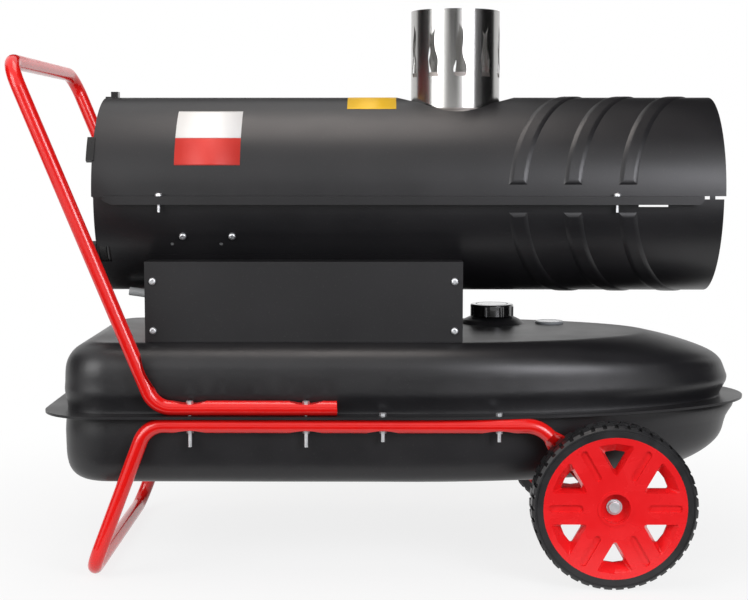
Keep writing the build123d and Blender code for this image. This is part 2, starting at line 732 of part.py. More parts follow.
def gauge_float():
    """Float at the foot of its stem, as in an empty tank."""
    low = STEM_Z0 + FIT
    ring = rod_z(FLOAT_R, low, low + FLOAT_H)
    ring = fillet(ring.edges().filter_by(GeomType.CIRCLE), FLOAT_ROUND)
    ring -= rod_z(STEM_R + FLOAT_GAP, low - PAST, low + FLOAT_H + PAST)
    return Pos(GAUGE_X, GAUGE_Y, 0) * ring


def drain_plug():
    """Hex plug with a flange, screwed up into the boss."""
    collar = TANK_LOW_Z - DRAIN_COLLAR_T
    plug = hex_z(DRAIN_HEX, collar - DRAIN_HEX_H, collar, DRAIN_X, 0)
    plug += rod_z(DRAIN_COLLAR_R, collar, TANK_LOW_Z, DRAIN_X)
    return plug + rod_z(DRAIN_R, TANK_LOW_Z, TANK_LOW_Z + DRAIN_DEPTH, DRAIN_X)


def fuel_pickup():
    """Suction tube with a flanged fitting above the tank and a strainer foot."""
    bore = rod_z(PICKUP_R - PICKUP_T, PICKUP_Z0 - PICKUP_T * 2, PICKUP_Z1 + PAST)
    tube = rod_z(PICKUP_R, PICKUP_Z0, PICKUP_Z1)
    foot = rod_z(PICKUP_FOOT_R, PICKUP_Z0 - PICKUP_FOOT_R, PICKUP_Z0 + PICKUP_R)
    nut = hex_z(PICKUP_NUT, TANK_TOP_Z, TANK_TOP_Z + PICKUP_NUT_H, 0, 0)
    return Pos(PICKUP_X, PICKUP_Y, 0) * (tube + foot + nut - bore)


# ---------------------------------------------------------------- tubes and running gear
def tube_along(points, radii, start_plane):
    """Hollow tube swept along straight runs joined by arcs."""
    path = FilletPolyline(*points, radius=radii)
    ring = start_plane * (Circle(TUBE_R) - Circle(TUBE_R - TUBE_T))
    return sweep(ring, path)


def dimples(shape, xs, tube_z, up):
    """Close the tube solid at each bolt and press a dimple with a flat seat into its free side."""
    seat = tube_z + up * (TUBE_R - DIMPLE_DEPTH)
    for x in xs:
        filling = rod_x(TUBE_R - TUBE_T / 2, x - DIMPLE_HALF, x + DIMPLE_HALF, TUBE_Y, tube_z)
        shape = fuse([shape] + both_sides(filling))
        trough = rod_y(DIMPLE_R, TUBE_Y - TUBE_R - PAST, TUBE_Y + TUBE_R + PAST, x, seat + up * DIMPLE_R)
        flat = rod_z(SEAT_R, seat, seat + up * 2 * DIMPLE_DEPTH, x, TUBE_Y)
        for cutter in both_sides(trough) + both_sides(flat):
            shape -= cutter
    return shape


def handle():
    x_top = HANDLE_BEND_X - HANDLE_LEAN
    z_top = HANDLE_Z + HANDLE_RISE
    near = [(HANDLE_END_X, -TUBE_Y, HANDLE_Z), (HANDLE_BEND_X, -TUBE_Y, HANDLE_Z), (x_top, -TUBE_Y, z_top)]
    points = near + [(x, -y, z) for x, y, z in reversed(near)]
    radii = [BEND_R, HANDLE_TOP_BEND_R, HANDLE_TOP_BEND_R, BEND_R]
    tube = tube_along(points, radii, Plane(origin=points[0], z_dir=(-1, 0, 0)))
    return dimples(tube, HANDLE_BOLT_X, HANDLE_Z, 1) - bolt_holes()


FRAME_ALONG = Vector(cos(FRAME_SLOPE), 0, -sin(FRAME_SLOPE))    # from the front bend to the axle
FRAME_END = Vector(FRAME_FRONT_X, -TUBE_Y, FRAME_Z) + FRAME_ALONG * FRAME_RUN


def frame_blade():
    """Crushed end of the near frame tube, with its hole for the axle."""
    y0 = -BLADE_Y - BLADE_T
    start = Plane(origin=FRAME_END, x_dir=(0, 1, 0), z_dir=FRAME_ALONG)
    middle = Vector(FRAME_END.X, -BLADE_Y - BLADE_T / 2, FRAME_END.Z) + FRAME_ALONG * CRUSH_RUN
    flat = Plane(origin=middle, x_dir=(0, 1, 0), z_dir=FRAME_ALONG)
    strip_end = flat * RectangleRounded(BLADE_T, BLADE_W, BLADE_ROUND)
    neck = loft([start * Circle(TUBE_R), strip_end])
    strip = extrude(strip_end, BLADE_REACH - CRUSH_RUN)
    eye = rod_y(BLADE_W / 2, y0, -BLADE_Y, WHEEL_X, WHEEL_Z)
    return neck + strip + eye - rod_y(AXLE_R, y0 - PAST, PAST - BLADE_Y, WHEEL_X, WHEEL_Z)


def frame_tube():
    foot_z = TUBE_R
    near = [(FRAME_END.X, -TUBE_Y, FRAME_END.Z), (FRAME_FRONT_X, -TUBE_Y, FRAME_Z),
            (LEG_BEND_X, -TUBE_Y, FRAME_Z), (LEG_BEND_X - LEG_LEAN, -TUBE_Y, foot_z)]
    points = near + [(x, -y, z) for x, y, z in reversed(near)]
    radii = [FRONT_BEND_R, BEND_R, BEND_R, BEND_R, BEND_R, FRONT_BEND_R]
    tube = tube_along(points, radii, Plane(origin=points[0], z_dir=FRAME_ALONG * -1))
    tube = fuse([tube] + both_sides(frame_blade()))
    return dimples(tube, HANDLE_BOLT_X + FRAME_BOLT_X, FRAME_Z, -1) - bolt_holes()


def frame_bolts():
    """Long bolts through handle, flange and frame; short ones through flange and frame."""
    bolts = []
    tube_low = FRAME_Z - TUBE_R
    dimple_top = HANDLE_Z + TUBE_R - DIMPLE_DEPTH
    for xs, seat, tail in ((HANDLE_BOLT_X, dimple_top, LONG_TAIL), (FRAME_BOLT_X, FLANGE_TOP, SHORT_TAIL)):
        for x in xs:
            head = hex_z(BOLT_HEX, seat, seat + BOLT_HEAD_H, x, -TUBE_Y)
            bolts += both_sides(head + rod_z(BOLT_R, tube_low - tail, seat, x, -TUBE_Y))
    return group(bolts)


def frame_nuts():
    nuts = []
    seat = FRAME_Z - TUBE_R + DIMPLE_DEPTH
    for x in HANDLE_BOLT_X + FRAME_BOLT_X:
        nut = hex_z(BOLT_HEX, seat - NUT_H, seat, x, -TUBE_Y)
        nut += rod_z(NUT_WASHER_R, seat - NUT_WASHER_T, seat, x, -TUBE_Y)
        nuts += both_sides(nut - rod_z(BOLT_R, seat - NUT_H - PAST, seat + PAST, x, -TUBE_Y))
    return group(nuts)


AXLE_END = WHEEL_Y + HUB_FACE + AXLE_PROUD


def axle():
    return rod_y(AXLE_R, -AXLE_END, AXLE_END, WHEEL_X, WHEEL_Z)


def axle_spacers():
    """Washers between the frame's blades and the wheels' hubs."""
    inner = BLADE_Y + BLADE_T
    washer = rod_y(SPACER_R, inner, inner + SPACER_T, WHEEL_X, WHEEL_Z)
    washer -= rod_y(AXLE_R, inner - PAST, inner + SPACER_T + PAST, WHEEL_X, WHEEL_Z)
    return group(both_sides(washer))


def axle_retainers():
    """Push caps that close the ends of the axle inside the hub recesses."""
    seat = WHEEL_Y + HUB_FACE + FIT
    cap = rod_y(RETAINER_R, -seat - RETAINER_T, -seat, WHEEL_X, WHEEL_Z)
    cap += rod_y(AXLE_R + RETAINER_WALL, -seat - RETAINER_H, -seat, WHEEL_X, WHEEL_Z)
    cap = fillet(cap.edges().group_by(Axis.Y)[0], RETAINER_T * 0.85)
    cap -= rod_y(AXLE_R, -AXLE_END, PAST - seat, WHEEL_X, WHEEL_Z)
    return group(both_sides(cap))


def window_face(outer_r, inner_r, z, corner):
    """Triangle with rounded corners that points at the hub."""
    half = (outer_r - inner_r) * WINDOW_SLOPE
    points = [(inner_r, 0), (outer_r, -half), (outer_r + half / 7, 0), (outer_r, half)]
    face = make_face(Polyline(*points, close=True))
    return Pos(0, 0, z) * fillet(face.vertices(), corner)


def wheel_window():
    """Funnel-shaped window between two spokes."""
    mouth = window_face(WINDOW_OUT_R, WINDOW_IN_R, WHEEL_HALF + SEAT, WINDOW_ROUND)
    throat = window_face(HOLE_OUT_R, HOLE_IN_R, WINDOW_Z, HOLE_ROUND)
    return loft([mouth, throat], ruled=True) + extrude(throat, -WINDOW_Z)


def wheel_rim():
    """Moulded wheel about its own axis, its outward face towards +Z."""
    back = -WHEEL_HALF - PAST
    rim = rod_z(RIM_R, -WHEEL_HALF, WHEEL_HALF)
    rim -= rod_z(RIM_R - RIM_T, back, WEB_Z) - rod_z(HUB_R + HUB_T, back, WEB_Z)
    rim += rod_z(HUB_R, HUB_BACK, WHEEL_HALF) + rod_z(RING_R, WHEEL_HALF, WHEEL_HALF + RING_H)
    rim -= rod_z(RECESS_R, HUB_FACE, WHEEL_HALF + PAST)
    rim -= rod_z(AXLE_R + AXLE_FIT, HUB_BACK - PAST, WHEEL_HALF)
    window = wheel_window()
    slot = Pos((GROOVE_R0 + GROOVE_R1) / 2, 0) * SlotOverall(GROOVE_R1 - GROOVE_R0, GROOVE_W)
    groove = extrude(Pos(0, 0, WHEEL_HALF - GROOVE_DEPTH) * slot, GROOVE_DEPTH + PAST)
    for k in range(SPOKES):
        rim -= Rot(0, 0, (k + 0.5) * 360 / SPOKES) * window
        rim -= Rot(0, 0, k * 360 / SPOKES) * groove
    return rim


def wheel_tyre():
    """Rubber tyre with two staggered rows of lugs."""
    profile = make_face(Polyline(
        (RIM_R, -WHEEL_HALF), (TYRE_R - TYRE_EDGE, -WHEEL_HALF), (TYRE_R, TYRE_EDGE - WHEEL_HALF),
        (TYRE_R, WHEEL_HALF - TYRE_EDGE), (TYRE_R - TYRE_EDGE, WHEEL_HALF), (RIM_R, WHEEL_HALF),
        close=True))
    tyre = revolve(Plane.XZ * profile, Axis.Z)
    root = TYRE_R - LUG_DEPTH
    gap = block(root, TYRE_R + PAST, -LUG_GAP / 2, LUG_GAP / 2, LUG_IN, WHEEL_HALF + PAST)
    cuts = [rod_z(TYRE_R + PAST, -TREAD_GROOVE, TREAD_GROOVE) - rod_z(root, -PAST, PAST)]
    for k in range(LUG_COUNT):
        cuts.append(Rot(0, 0, k * 360 / LUG_COUNT) * gap)
        cuts.append(Rot(0, 0, (k + 0.5) * 360 / LUG_COUNT) * mirror(gap, about=Plane.XY))
    from_edge, to_edge, deep = WALL_GROOVE
    ring = rod_z(TYRE_R - from_edge, WHEEL_HALF - deep, WHEEL_HALF + PAST)
    cuts.append(ring - rod_z(TYRE_R - to_edge, WHEEL_HALF - PAST, WHEEL_HALF + PAST))
    return tyre - cuts


def place_wheel(shape):
    """Near wheel and its mirror image on the far side."""
    near = Pos(WHEEL_X, -WHEEL_Y, WHEEL_Z) * Rot(90, 0, 0) * shape
    return both_sides(near)


# ---------------------------------------------------------------- barrel
def shell_tube(x0, x1):
    """Whole barrel skin with the dish round the flue."""
    def dish(drop):
        low_r = FLUE_HOLE_X - drop
        high_r = low_r + DISH_RISE * DISH_SLOPE
        top = DISH_Z + DISH_RISE - drop
        cone = Pos(FLUE_X, 0, top - DISH_RISE / 2) * Cone(low_r, high_r, DISH_RISE)
        return cone + rod_z(high_r, top, top + DISH_RISE, FLUE_X)

    outer = rod_x(SHELL_R, x0, x1) - dish(0)
    inner = rod_x(INNER_R, x0 - PAST, x1 + PAST) - dish(SHELL_T)
    hole = extrude(Pos(FLUE_X, 0, AXIS_Z + SHELL_R / 2) * Ellipse(FLUE_HOLE_X, FLUE_HOLE_Y), SHELL_R)
    return outer - inner - hole


def half_rib(x, z0, z1):
    """Far half of one raised band, its shoulders and its lower end rounded off."""
    reach = SHELL_R + PAST
    run = sqrt(RIB_ROUND ** 2 - (RIB_ROUND - RIB_H) ** 2)
    half = RIB_HALF + RIB_ROUND - run
    lean = RIB_LEAN * reach
    band = make_face(Polyline((x - half, 0), (x - half - lean, reach), (x + half - lean, reach),
                              (x + half, 0), close=True))
    past_end = rod_x(SHELL_R - RIB_ROOT, SHELL_X0 - PAST, SHELL_X1 + PAST)
    ring = rod_x(SHELL_R + RIB_H, SHELL_X0, SHELL_X1) - past_end
    rib = extrude(Pos(0, 0, z0) * band, z1 - z0) & ring
    crown = max(rib.faces().filter_by(GeomType.CYLINDER), key=lambda face: face.area)
    rib = fillet([edge for edge in crown.edges() if abs(edge.center().Y) > FIT], RIB_ROUND)
    return rib - rod_x(SHELL_R - SHELL_T / 2, SHELL_X0 - PAST, SHELL_X1 + PAST)


def ribs(z0, z1):
    """The three raised bands of one shell."""
    bands = []
    for x in RIB_X:
        bands += both_sides(half_rib(x, z0, z1))
    return bands


def lip_profile():
    """Down-turned lip of the upper shell's seam flange, seen from the side."""
    top = AXIS_Z + SHELL_T
    low = top - SEAM_LIP_H
    return make_face(Polyline(
        (SEAM_X0, top), (SEAM_X0, low + SEAM_LIP_H / 2), (SEAM_X0 + SEAM_CHAMFER_X0, low),
        (SEAM_X1 - SEAM_CHAMFER_X1, low), (SEAM_X1, low + SEAM_LIP_H / 2), (SEAM_X1, top),
        close=True))


def radial_rod(r, r0, r1, x, deg):
    """Cylinder pointing out of the barrel at an angle below the near horizontal."""
    along = Vector(0, -cos(radians(deg)), -sin(radians(deg)))
    start = Plane(origin=Vector(x, 0, AXIS_Z) + along * r0, z_dir=along)
    return extrude(start * Circle(r), r1 - r0)


def half_space(z0, z1):
    """Slab that holds one half of the barrel."""
    wide = SHELL_R + SEAM_W
    return block(SHELL_X0 - PAST, SHELL_X1 + PAST, -wide, wide, z0, z1)


def seam_screw_holes(z0, z1):
    """Clearance holes for the seam screws."""
    rods = []
    for x in SEAM_SCREW_X:
        rods += both_sides(rod_z(SCREW_R + SCREW_GAP, z0, z1, x, SEAM_SCREW_Y))
    return fuse(rods)


def beyond_seam(z0, z1):
    """Slot that parts the two shells' edges between the seam flanges and the outlet."""
    wide = SHELL_R + SEAM_W
    return block(SEAM_X1 + SEAM_TRIM, SHELL_X1 + PAST, -wide, wide, z0, z1)


def upper_shell():
    top = AXIS_Z + SHELL_R + PAST
    shell = shell_tube(SHELL_X0, SHELL_X1) & half_space(AXIS_Z, top)
    shell = fuse([shell] + ribs(AXIS_Z + RIB_ABOVE, top))
    sheet = block(SEAM_X0, SEAM_X1, -SHELL_R + SHELL_T / 2, -SEAM_EDGE_Y, AXIS_Z, AXIS_Z + SHELL_T)
    lip = Pos(0, -SEAM_EDGE_Y + SHELL_T, 0) * extrude(Plane.XZ * lip_profile(), SHELL_T)
    shell = fuse([shell] + both_sides(sheet + lip))
    shell -= beyond_seam(AXIS_Z - PAST, AXIS_Z + END_GAP_UP)
    return shell - seam_screw_holes(AXIS_Z - PAST, AXIS_Z + PAST)


def lower_shell():
    x0 = SHELL_X0 + LOWER_TRIM
    x1 = SHELL_X1 - LOWER_TRIM
    low = AXIS_Z - SHELL_R - PAST
    shell = shell_tube(x0, x1) & half_space(low, AXIS_Z)
    shell = fuse([shell] + ribs(low, AXIS_Z - RIB_BELOW))
    edge = SEAM_EDGE_Y - SHELL_T - FIT
    sheet = block(SEAM_X0 + SEAM_TRIM, SEAM_X1 - SEAM_TRIM, -SHELL_R + SHELL_T / 2, -edge,
                  AXIS_Z - SHELL_T, AXIS_Z)
    shell = fuse([shell] + both_sides(sheet))
    shell -= beyond_seam(AXIS_Z - END_GAP_DOWN, AXIS_Z + PAST)
    tab = block(END_TAB_X - END_TAB_W / 2, END_TAB_X + END_TAB_W / 2, -SHELL_R, SHELL_R,
                AXIS_Z - END_TAB_DEPTH, AXIS_Z + END_GAP_UP)
    shell += tab & (rod_x(SHELL_R, x0, x1) - rod_x(INNER_R, x0, x1))
    for (start, stop, high, deep), side in ((SLOT_NEAR, -1), (SLOT_FAR, 1)):
        shell -= block(SHELL_X1 - start, SHELL_X1 - stop, side * INNER_R * 0.9, side * SEAM_EDGE_Y,
                       AXIS_Z - deep, AXIS_Z - high)
    spare_x = tuple(x - SPARE_HOLE_BACK for x in BRACKET_SCREW_X)
    for deg, xs, r in ((BRACKET_SCREW_DEG, BRACKET_SCREW_X, SCREW_R + SCREW_GAP),
                       (SPARE_HOLE_DEG, spare_x, SPARE_HOLE_R)):
        for x in xs:
            shell -= radial_rod(r, INNER_R - PAST, SHELL_R + PAST, x, deg)
            shell -= radial_rod(r, INNER_R - PAST, SHELL_R + PAST, x, 180 - deg)
    shell -= seam_screw_holes(AXIS_Z - PAST, AXIS_Z + PAST)
    for x in (AIR_HOSE_X0, AIR_HOSE_X1, FUEL_HOSE_X1):
        shell -= rod_z(HOSE_R + HOSE_HOLE, low, AXIS_Z - INNER_R / 2, x)
    notch_z = [AXIS_Z - SHELL_R * sin(radians(deg)) for deg in NOTCH_DEG]
    return shell - block(NOTCH_X[0], NOTCH_X[1], -SHELL_R, -SHELL_R * 0.7, notch_z[0], notch_z[1])


def seam_screws():
    """Vertical screws through the seam flanges, each with its clip nut."""
    screws = []
    seat = AXIS_Z + SHELL_T
    for x in SEAM_SCREW_X:
        nut = hex_z(CLIP_NUT_W, AXIS_Z - SHELL_T - CLIP_NUT_H, AXIS_Z - SHELL_T, x, -SEAM_SCREW_Y)
        screws += both_sides(Pos(x, -SEAM_SCREW_Y, seat) * screw(SHELL_T + SEAM_SCREW_TAIL) + nut)
    return group(screws)


def shell_screws():
    """Screws that hold the motor bracket inside the lower shell, set square to it."""
    screws = []
    for x in BRACKET_SCREW_X:
        for deg in (BRACKET_SCREW_DEG, 180 - BRACKET_SCREW_DEG):
            along = Vector(0, -cos(radians(deg)), -sin(radians(deg)))
            origin = Vector(x, 0, AXIS_Z) + along * (SHELL_R + AXLE_FIT)
            screws.append(Plane(origin=origin, z_dir=along) * screw(SCREW_R * 4))
    return group(screws)


# ---------------------------------------------------------------- flue
def flame_face(points, corners):
    """Outline of one flame-shaped window, standing on its base line."""
    points = [(across * FLAME_W / 2, up * FLAME_H) for across, up in points]
    sides = [Spline(*points[a:b + 1]) for a, b in zip(corners, corners[1:])]
    return make_face(sides + [Line(points[-1], points[0])])


def flue_sleeve():
    """Stainless sleeve with a row of flame-shaped windows."""
    sleeve = rod_z(FLUE_R, FLUE_Z0, FLUE_Z1) - rod_z(FLUE_R - FLUE_T, FLUE_Z0 - PAST, FLUE_Z1 + PAST)
    front = Plane(origin=(0, 0, FLAME_Z), x_dir=(1, 0, 0), z_dir=(0, -1, 0))
    single = extrude(front * flame_face(FLAME_SINGLE, SINGLE_CORNERS), FLUE_R + PAST)
    forked = extrude(front * flame_face(FLAME_FORKED, FORKED_CORNERS), FLUE_R + PAST)
    for k in range(FLAME_COUNT):
        cutter = forked if k % 2 else single
        sleeve -= Rot(0, 0, FLAME_TURN - k * 360 / FLAME_COUNT) * cutter
    return Pos(FLUE_X, 0, 0) * sleeve


# ---------------------------------------------------------------- inside the barrel
def fan_guard():
    """Wire guard of the air inlet."""
    wires = []
    for k in range(GUARD_GAPS + 1):
        r = GUARD_R - k * (GUARD_R - GUARD_HUB_R) / GUARD_GAPS
        wires.append(about_axis(GUARD_TURN, Pos(GUARD_X, 0, 0) * Rot(0, 90, 0) * Torus(r, GUARD_WIRE)))
    spoke = rod_z(SPOKE_WIRE, GUARD_DISC_R - SPOKE_WIRE, GUARD_R + GUARD_WIRE / 4, GUARD_X - SPOKE_STEP)
    for k in range(GUARD_SPOKES):
        wires.append(about_axis((k + 0.5) * 360 / GUARD_SPOKES, spoke))
    wires.append(rod_x(GUARD_DISC_R, GUARD_X - GUARD_DISC_T, GUARD_X))
    return fuse(wires)


def guard_clip(deg, width, out, lap, height):
    """Clip round a shell's end; its inner leg bears on the guard's outer ring."""
    stop = (SHELL_X0 if deg < 180 else SHELL_X0 + LOWER_TRIM) - FIT
    x0 = SHELL_X0 - out
    tip = SHELL_X0 + CLIP_IN
    ring = rod_x(SHELL_R + height, x0, SHELL_X0 + lap) + rod_x(INNER_R - FIT, x0, tip)
    ring -= rod_x(GUARD_R + GUARD_WIRE + SEAT, x0 - PAST, tip + PAST)
    ring -= rod_x(SHELL_R + FIT, stop, tip + PAST) - rod_x(INNER_R - FIT, stop - PAST, tip + PAST)
    sector = block(x0, SHELL_X0 + max(lap, CLIP_IN), -width / 2, width / 2, GUARD_R / 2, SHELL_R + height)
    return ring & about_axis(90 - deg, sector)


def guard_clips():
    """Clips that hook the guard's outer ring to the ends of the shells."""
    clips = []
    for deg in SIDE_CLIP_DEG:
        clips.append(guard_clip(deg, SIDE_CLIP_W, SIDE_CLIP_OUT, SIDE_CLIP_LAP, SIDE_CLIP_H))
    strap = guard_clip(TOP_CLIP_DEG, TOP_CLIP_W, TOP_CLIP_OUT, TOP_CLIP_LAP, TOP_CLIP_H)
    lug_x1 = SHELL_X0 + TOP_CLIP_LAP
    lug = block(TOP_LUG_X, lug_x1, -TOP_CLIP_W / 2, TOP_CLIP_W / 2, INNER_R, SHELL_R + TOP_LUG_H)
    lug -= rod_x(SHELL_R + FIT, TOP_LUG_X - PAST, lug_x1 + PAST, 0.0, 0.0)
    clips.append(strap + about_axis(90 - TOP_CLIP_DEG, lug))
    return group(clips)


def motor_bracket():
    """Saddle strap inside the lower shell with two cradle plates for the motor."""
    strap = rod_x(STRAP_R, BRACKET_X0, BRACKET_X1)
    strap -= rod_x(STRAP_R - BRACKET_T, BRACKET_X0 - PAST, BRACKET_X1 + PAST)
    plates = []
    hole_at = (MOTOR_R + STRAP_R) / 2
    for x in PLATE_X:
        plate = rod_x(STRAP_R - BRACKET_T / 2, x, x + PLATE_T)
        plate -= rod_x(MOTOR_R, x - PAST, x + PLATE_T + PAST)
        for k in range(-2, 3):
            along = radians(PLATE_HOLE_DEG * k)
            y = hole_at * sin(along)
            plate -= rod_x(PLATE_HOLE_R, x - PAST, x + PLATE_T + PAST, y, AXIS_Z - hole_at * cos(along))
        plates.append(plate)
    low = AXIS_Z - SHELL_R
    high = AXIS_Z - STRAP_R * sin(radians(BRACKET_TOP_DEG))
    below = block(BRACKET_X0 - PAST, BRACKET_X1 + PAST, -SHELL_R, SHELL_R, low, high)
    bracket = fuse([strap] + plates) & below
    for x in BRACKET_SCREW_X:
        for deg in (BRACKET_SCREW_DEG, 180 - BRACKET_SCREW_DEG):
            bracket -= radial_rod(SCREW_R, STRAP_R - SCREW_R * 4, STRAP_R + PAST, x, deg)
    return bracket


def motor_housing():
    """Cup round the rotor, its rear end bored for the shaft."""
    can = rod_x(MOTOR_R, MOTOR_X0, MOTOR_X1)
    can -= rod_x(MOTOR_R - MOTOR_T, MOTOR_X0 + END_CAP_T, MOTOR_X1 + PAST)
    return can - rod_x(SHAFT_R + SHAFT_FIT, MOTOR_X0 - PAST, MOTOR_X0 + END_CAP_T + PAST)


def motor_end_cap():
    """Front cover of the motor with its bearing boss and a short spigot in the housing."""
    cap = rod_x(MOTOR_R, MOTOR_X1, MOTOR_X1 + END_CAP_T)
    cap += rod_x(BEARING_R, MOTOR_X1 - BEARING_IN, MOTOR_X1 + BEARING_OUT)
    cap += rod_x(MOTOR_R - MOTOR_T, MOTOR_X1 - STATOR_PAST, MOTOR_X1)
    return cap - rod_x(SHAFT_R + SHAFT_FIT, MOTOR_X1 - BEARING_IN - PAST, MOTOR_X1 + BEARING_OUT + PAST)


def motor_rotor():
    return rod_x(ROTOR_R, ROTOR_X0, ROTOR_X1) - rod_x(SHAFT_R, ROTOR_X0 - PAST, ROTOR_X1 + PAST)


def motor_stator():
    ring = rod_x(MOTOR_R - MOTOR_T, ROTOR_X0 - STATOR_PAST, ROTOR_X1 + STATOR_PAST)
    return ring - rod_x(ROTOR_R + AIR_GAP, ROTOR_X0 - PAST, ROTOR_X1 + PAST)


def motor_shaft():
    return rod_x(SHAFT_R, PUMP_X0 + VANE_GAP, FAN_X1 + SHAFT_END)


def fan():
    """Axial fan with pitched blades on a hub."""
    middle = (FAN_X0 + FAN_X1) / 2
    blade = Rot(0, 0, FAN_PITCH) * block(-FAN_BLADE_T / 2, FAN_BLADE_T / 2, -FAN_BLADE_W / 2,
                                         FAN_BLADE_W / 2, FAN_HUB_R / 2, FAN_R + PAST)
    pieces = [rod_x(FAN_HUB_R, FAN_X0, FAN_X1)]
    for k in range(FAN_BLADES):
        pieces.append(about_axis(k * 360 / FAN_BLADES, Pos(middle, 0, 0) * blade))
    wheel = fuse(pieces) & rod_x(FAN_R, FAN_X0, FAN_X1)
    return wheel - rod_x(SHAFT_R, FAN_X0 - PAST, FAN_X1 + PAST)


def pump_body():
    """Air pump on the rear face of the motor."""
    floor = PUMP_X0 + PUMP_BORE_DEPTH
    body = rod_x(PUMP_R, PUMP_X0, MOTOR_X0) - rod_x(PUMP_BORE_R, PUMP_X0 - PAST, floor)
    body -= rod_x(SHAFT_R + SHAFT_FIT, floor - PAST, MOTOR_X0 + PAST)
    low = AXIS_Z - PUMP_R
    return body + rod_z(PORT_R, low - PORT_H, low + PAST, AIR_PORT_X)


def pump_rotor():
    """Slotted rotor that carries the pump's vanes."""
    x0 = PUMP_X0 + VANE_GAP
    x1 = PUMP_X0 + PUMP_BORE_DEPTH - VANE_GAP
    rotor = rod_x(VANE_ROTOR_R, x0, x1)
    slot = block(x0 - PAST, x1 + PAST, -VANE_T / 2, VANE_T / 2, VANE_ROTOR_R - VANE_DEPTH, VANE_ROTOR_R + PAST)
    for k in range(4):
        rotor -= about_axis(45 + 90 * k, slot)
    return rotor - rod_x(SHAFT_R, x0 - PAST, x1 + PAST)


def filter_cover():
    """Round cover of the pump's air filter, with a pressure gauge boss."""
    cover = rod_x(PUMP_R + FILTER_WALL, FILTER_X0, PUMP_X0)
    cover = fillet(cover.edges().group_by(Axis.X)[0], FILTER_WALL)
    cover -= rod_x(PUMP_R, FILTER_X0 + FILTER_WALL, PUMP_X0 + PAST)
    cover += rod_x(FILTER_BOSS_R, FILTER_X0 - FILTER_BOSS_H, FILTER_X0 + FILTER_WALL / 2)
    rib = block(FILTER_X0 + FILTER_WALL / 2, PUMP_X0, -FILTER_RIB_T / 2, FILTER_RIB_T / 2,
                PUMP_BORE_R + 2, PUMP_R + FILTER_WALL / 2)
    for k in range(FILTER_RIBS):
        cover += about_axis(k * 360 / FILTER_RIBS, rib)
    return cover


def electrode_spots():
    """Y and Z of the two electrodes above the nozzle."""
    turn = radians(ELECTRODE_DEG)
    return [(side * ELECTRODE_OFF * sin(turn), AXIS_Z + ELECTRODE_OFF * cos(turn)) for side in (-1, 1)]


def burner_head():
    """Burner tube, its slotted turbulator disc and the disc that closes the chamber."""
    inner = BURNER_R - STEEL_T
    tube = rod_x(BURNER_R, BURNER_X0, CHAMBER_X0) - rod_x(inner, BURNER_X0 - PAST, CHAMBER_X0 + PAST)
    plate = rod_x(CHAMBER_R, CHAMBER_X0 - STEEL_T, CHAMBER_X0)
    plate -= rod_x(inner, CHAMBER_X0 - PAST, CHAMBER_X0 + PAST)
    disc = rod_x(BURNER_R - BURNER_FIT, DISC_X, DISC_X + DISC_T)
    disc -= rod_x(DISC_BORE_R, DISC_X - PAST, DISC_X + PAST)
    slot = block(DISC_X - PAST, DISC_X + PAST, -DISC_SLOT_W / 2, DISC_SLOT_W / 2, *DISC_SLOT_R)
    for k in range(DISC_SLOTS):
        disc -= about_axis(k * 360 / DISC_SLOTS, slot)
    spider = rod_x(BURNER_R - BURNER_FIT, SPIDER_X, SPIDER_X + DISC_T)
    holes = [(NOZZLE_R, 0, AXIS_Z)] + [(ELECTRODE_R, y, z) for y, z in electrode_spots()]
    for deg in SPIDER_HOLE_DEG:
        along = radians(deg)
        holes.append((SPIDER_HOLE_R, SPIDER_HOLE_AT * cos(along), AXIS_Z + SPIDER_HOLE_AT * sin(along)))
    for r, y, z in holes:
        spider -= rod_x(r, SPIDER_X - PAST, SPIDER_X + PAST, y, z)
    for x in (AIR_HOSE_X1, FUEL_HOSE_X1):
        tube -= rod_z(HOSE_R + HOSE_HOLE, AXIS_Z - BURNER_R - PAST, AXIS_Z - BURNER_R / 2, x)
    return tube + plate + disc + spider


def nozzle():
    """Fuel nozzle in the middle of the burner tube."""
    body = rod_x(NOZZLE_R, NOZZLE_X0, NOZZLE_X1)
    tip = Pos(NOZZLE_X1 + NOZZLE_TIP / 2, 0, AXIS_Z) * Rot(0, 90, 0) * Cone(NOZZLE_R, NOZZLE_TIP_R, NOZZLE_TIP)
    ports = [rod_z(NOZZLE_PORT_R, AXIS_Z - NOZZLE_PORT_H, AXIS_Z, x) for x in (AIR_HOSE_X1, FUEL_HOSE_X1)]
    return fuse([body, tip] + ports)


def electrodes():
    """Two spark electrodes in ceramic sleeves."""
    rods = []
    for y, z in electrode_spots():
        sleeve = rod_x(ELECTRODE_R, ELECTRODE_X0, ELECTRODE_X1, y, z)
        wire = rod_x(ELECTRODE_WIRE, ELECTRODE_X1 - ELECTRODE_WIRE, ELECTRODE_X1 + ELECTRODE_PAST, y, z)
        rods.append(sleeve + wire)
    return group(rods)


def across_pipe(k, r, reach):
    """Cylinder square to the axis for one of the pipes between chamber and exchanger."""
    along = radians((k + 0.5) * 360 / PIPES)
    base = Plane(origin=(PIPE_X, 0, AXIS_Z), z_dir=(0, cos(along), sin(along)))
    return extrude(base * Circle(r), reach)


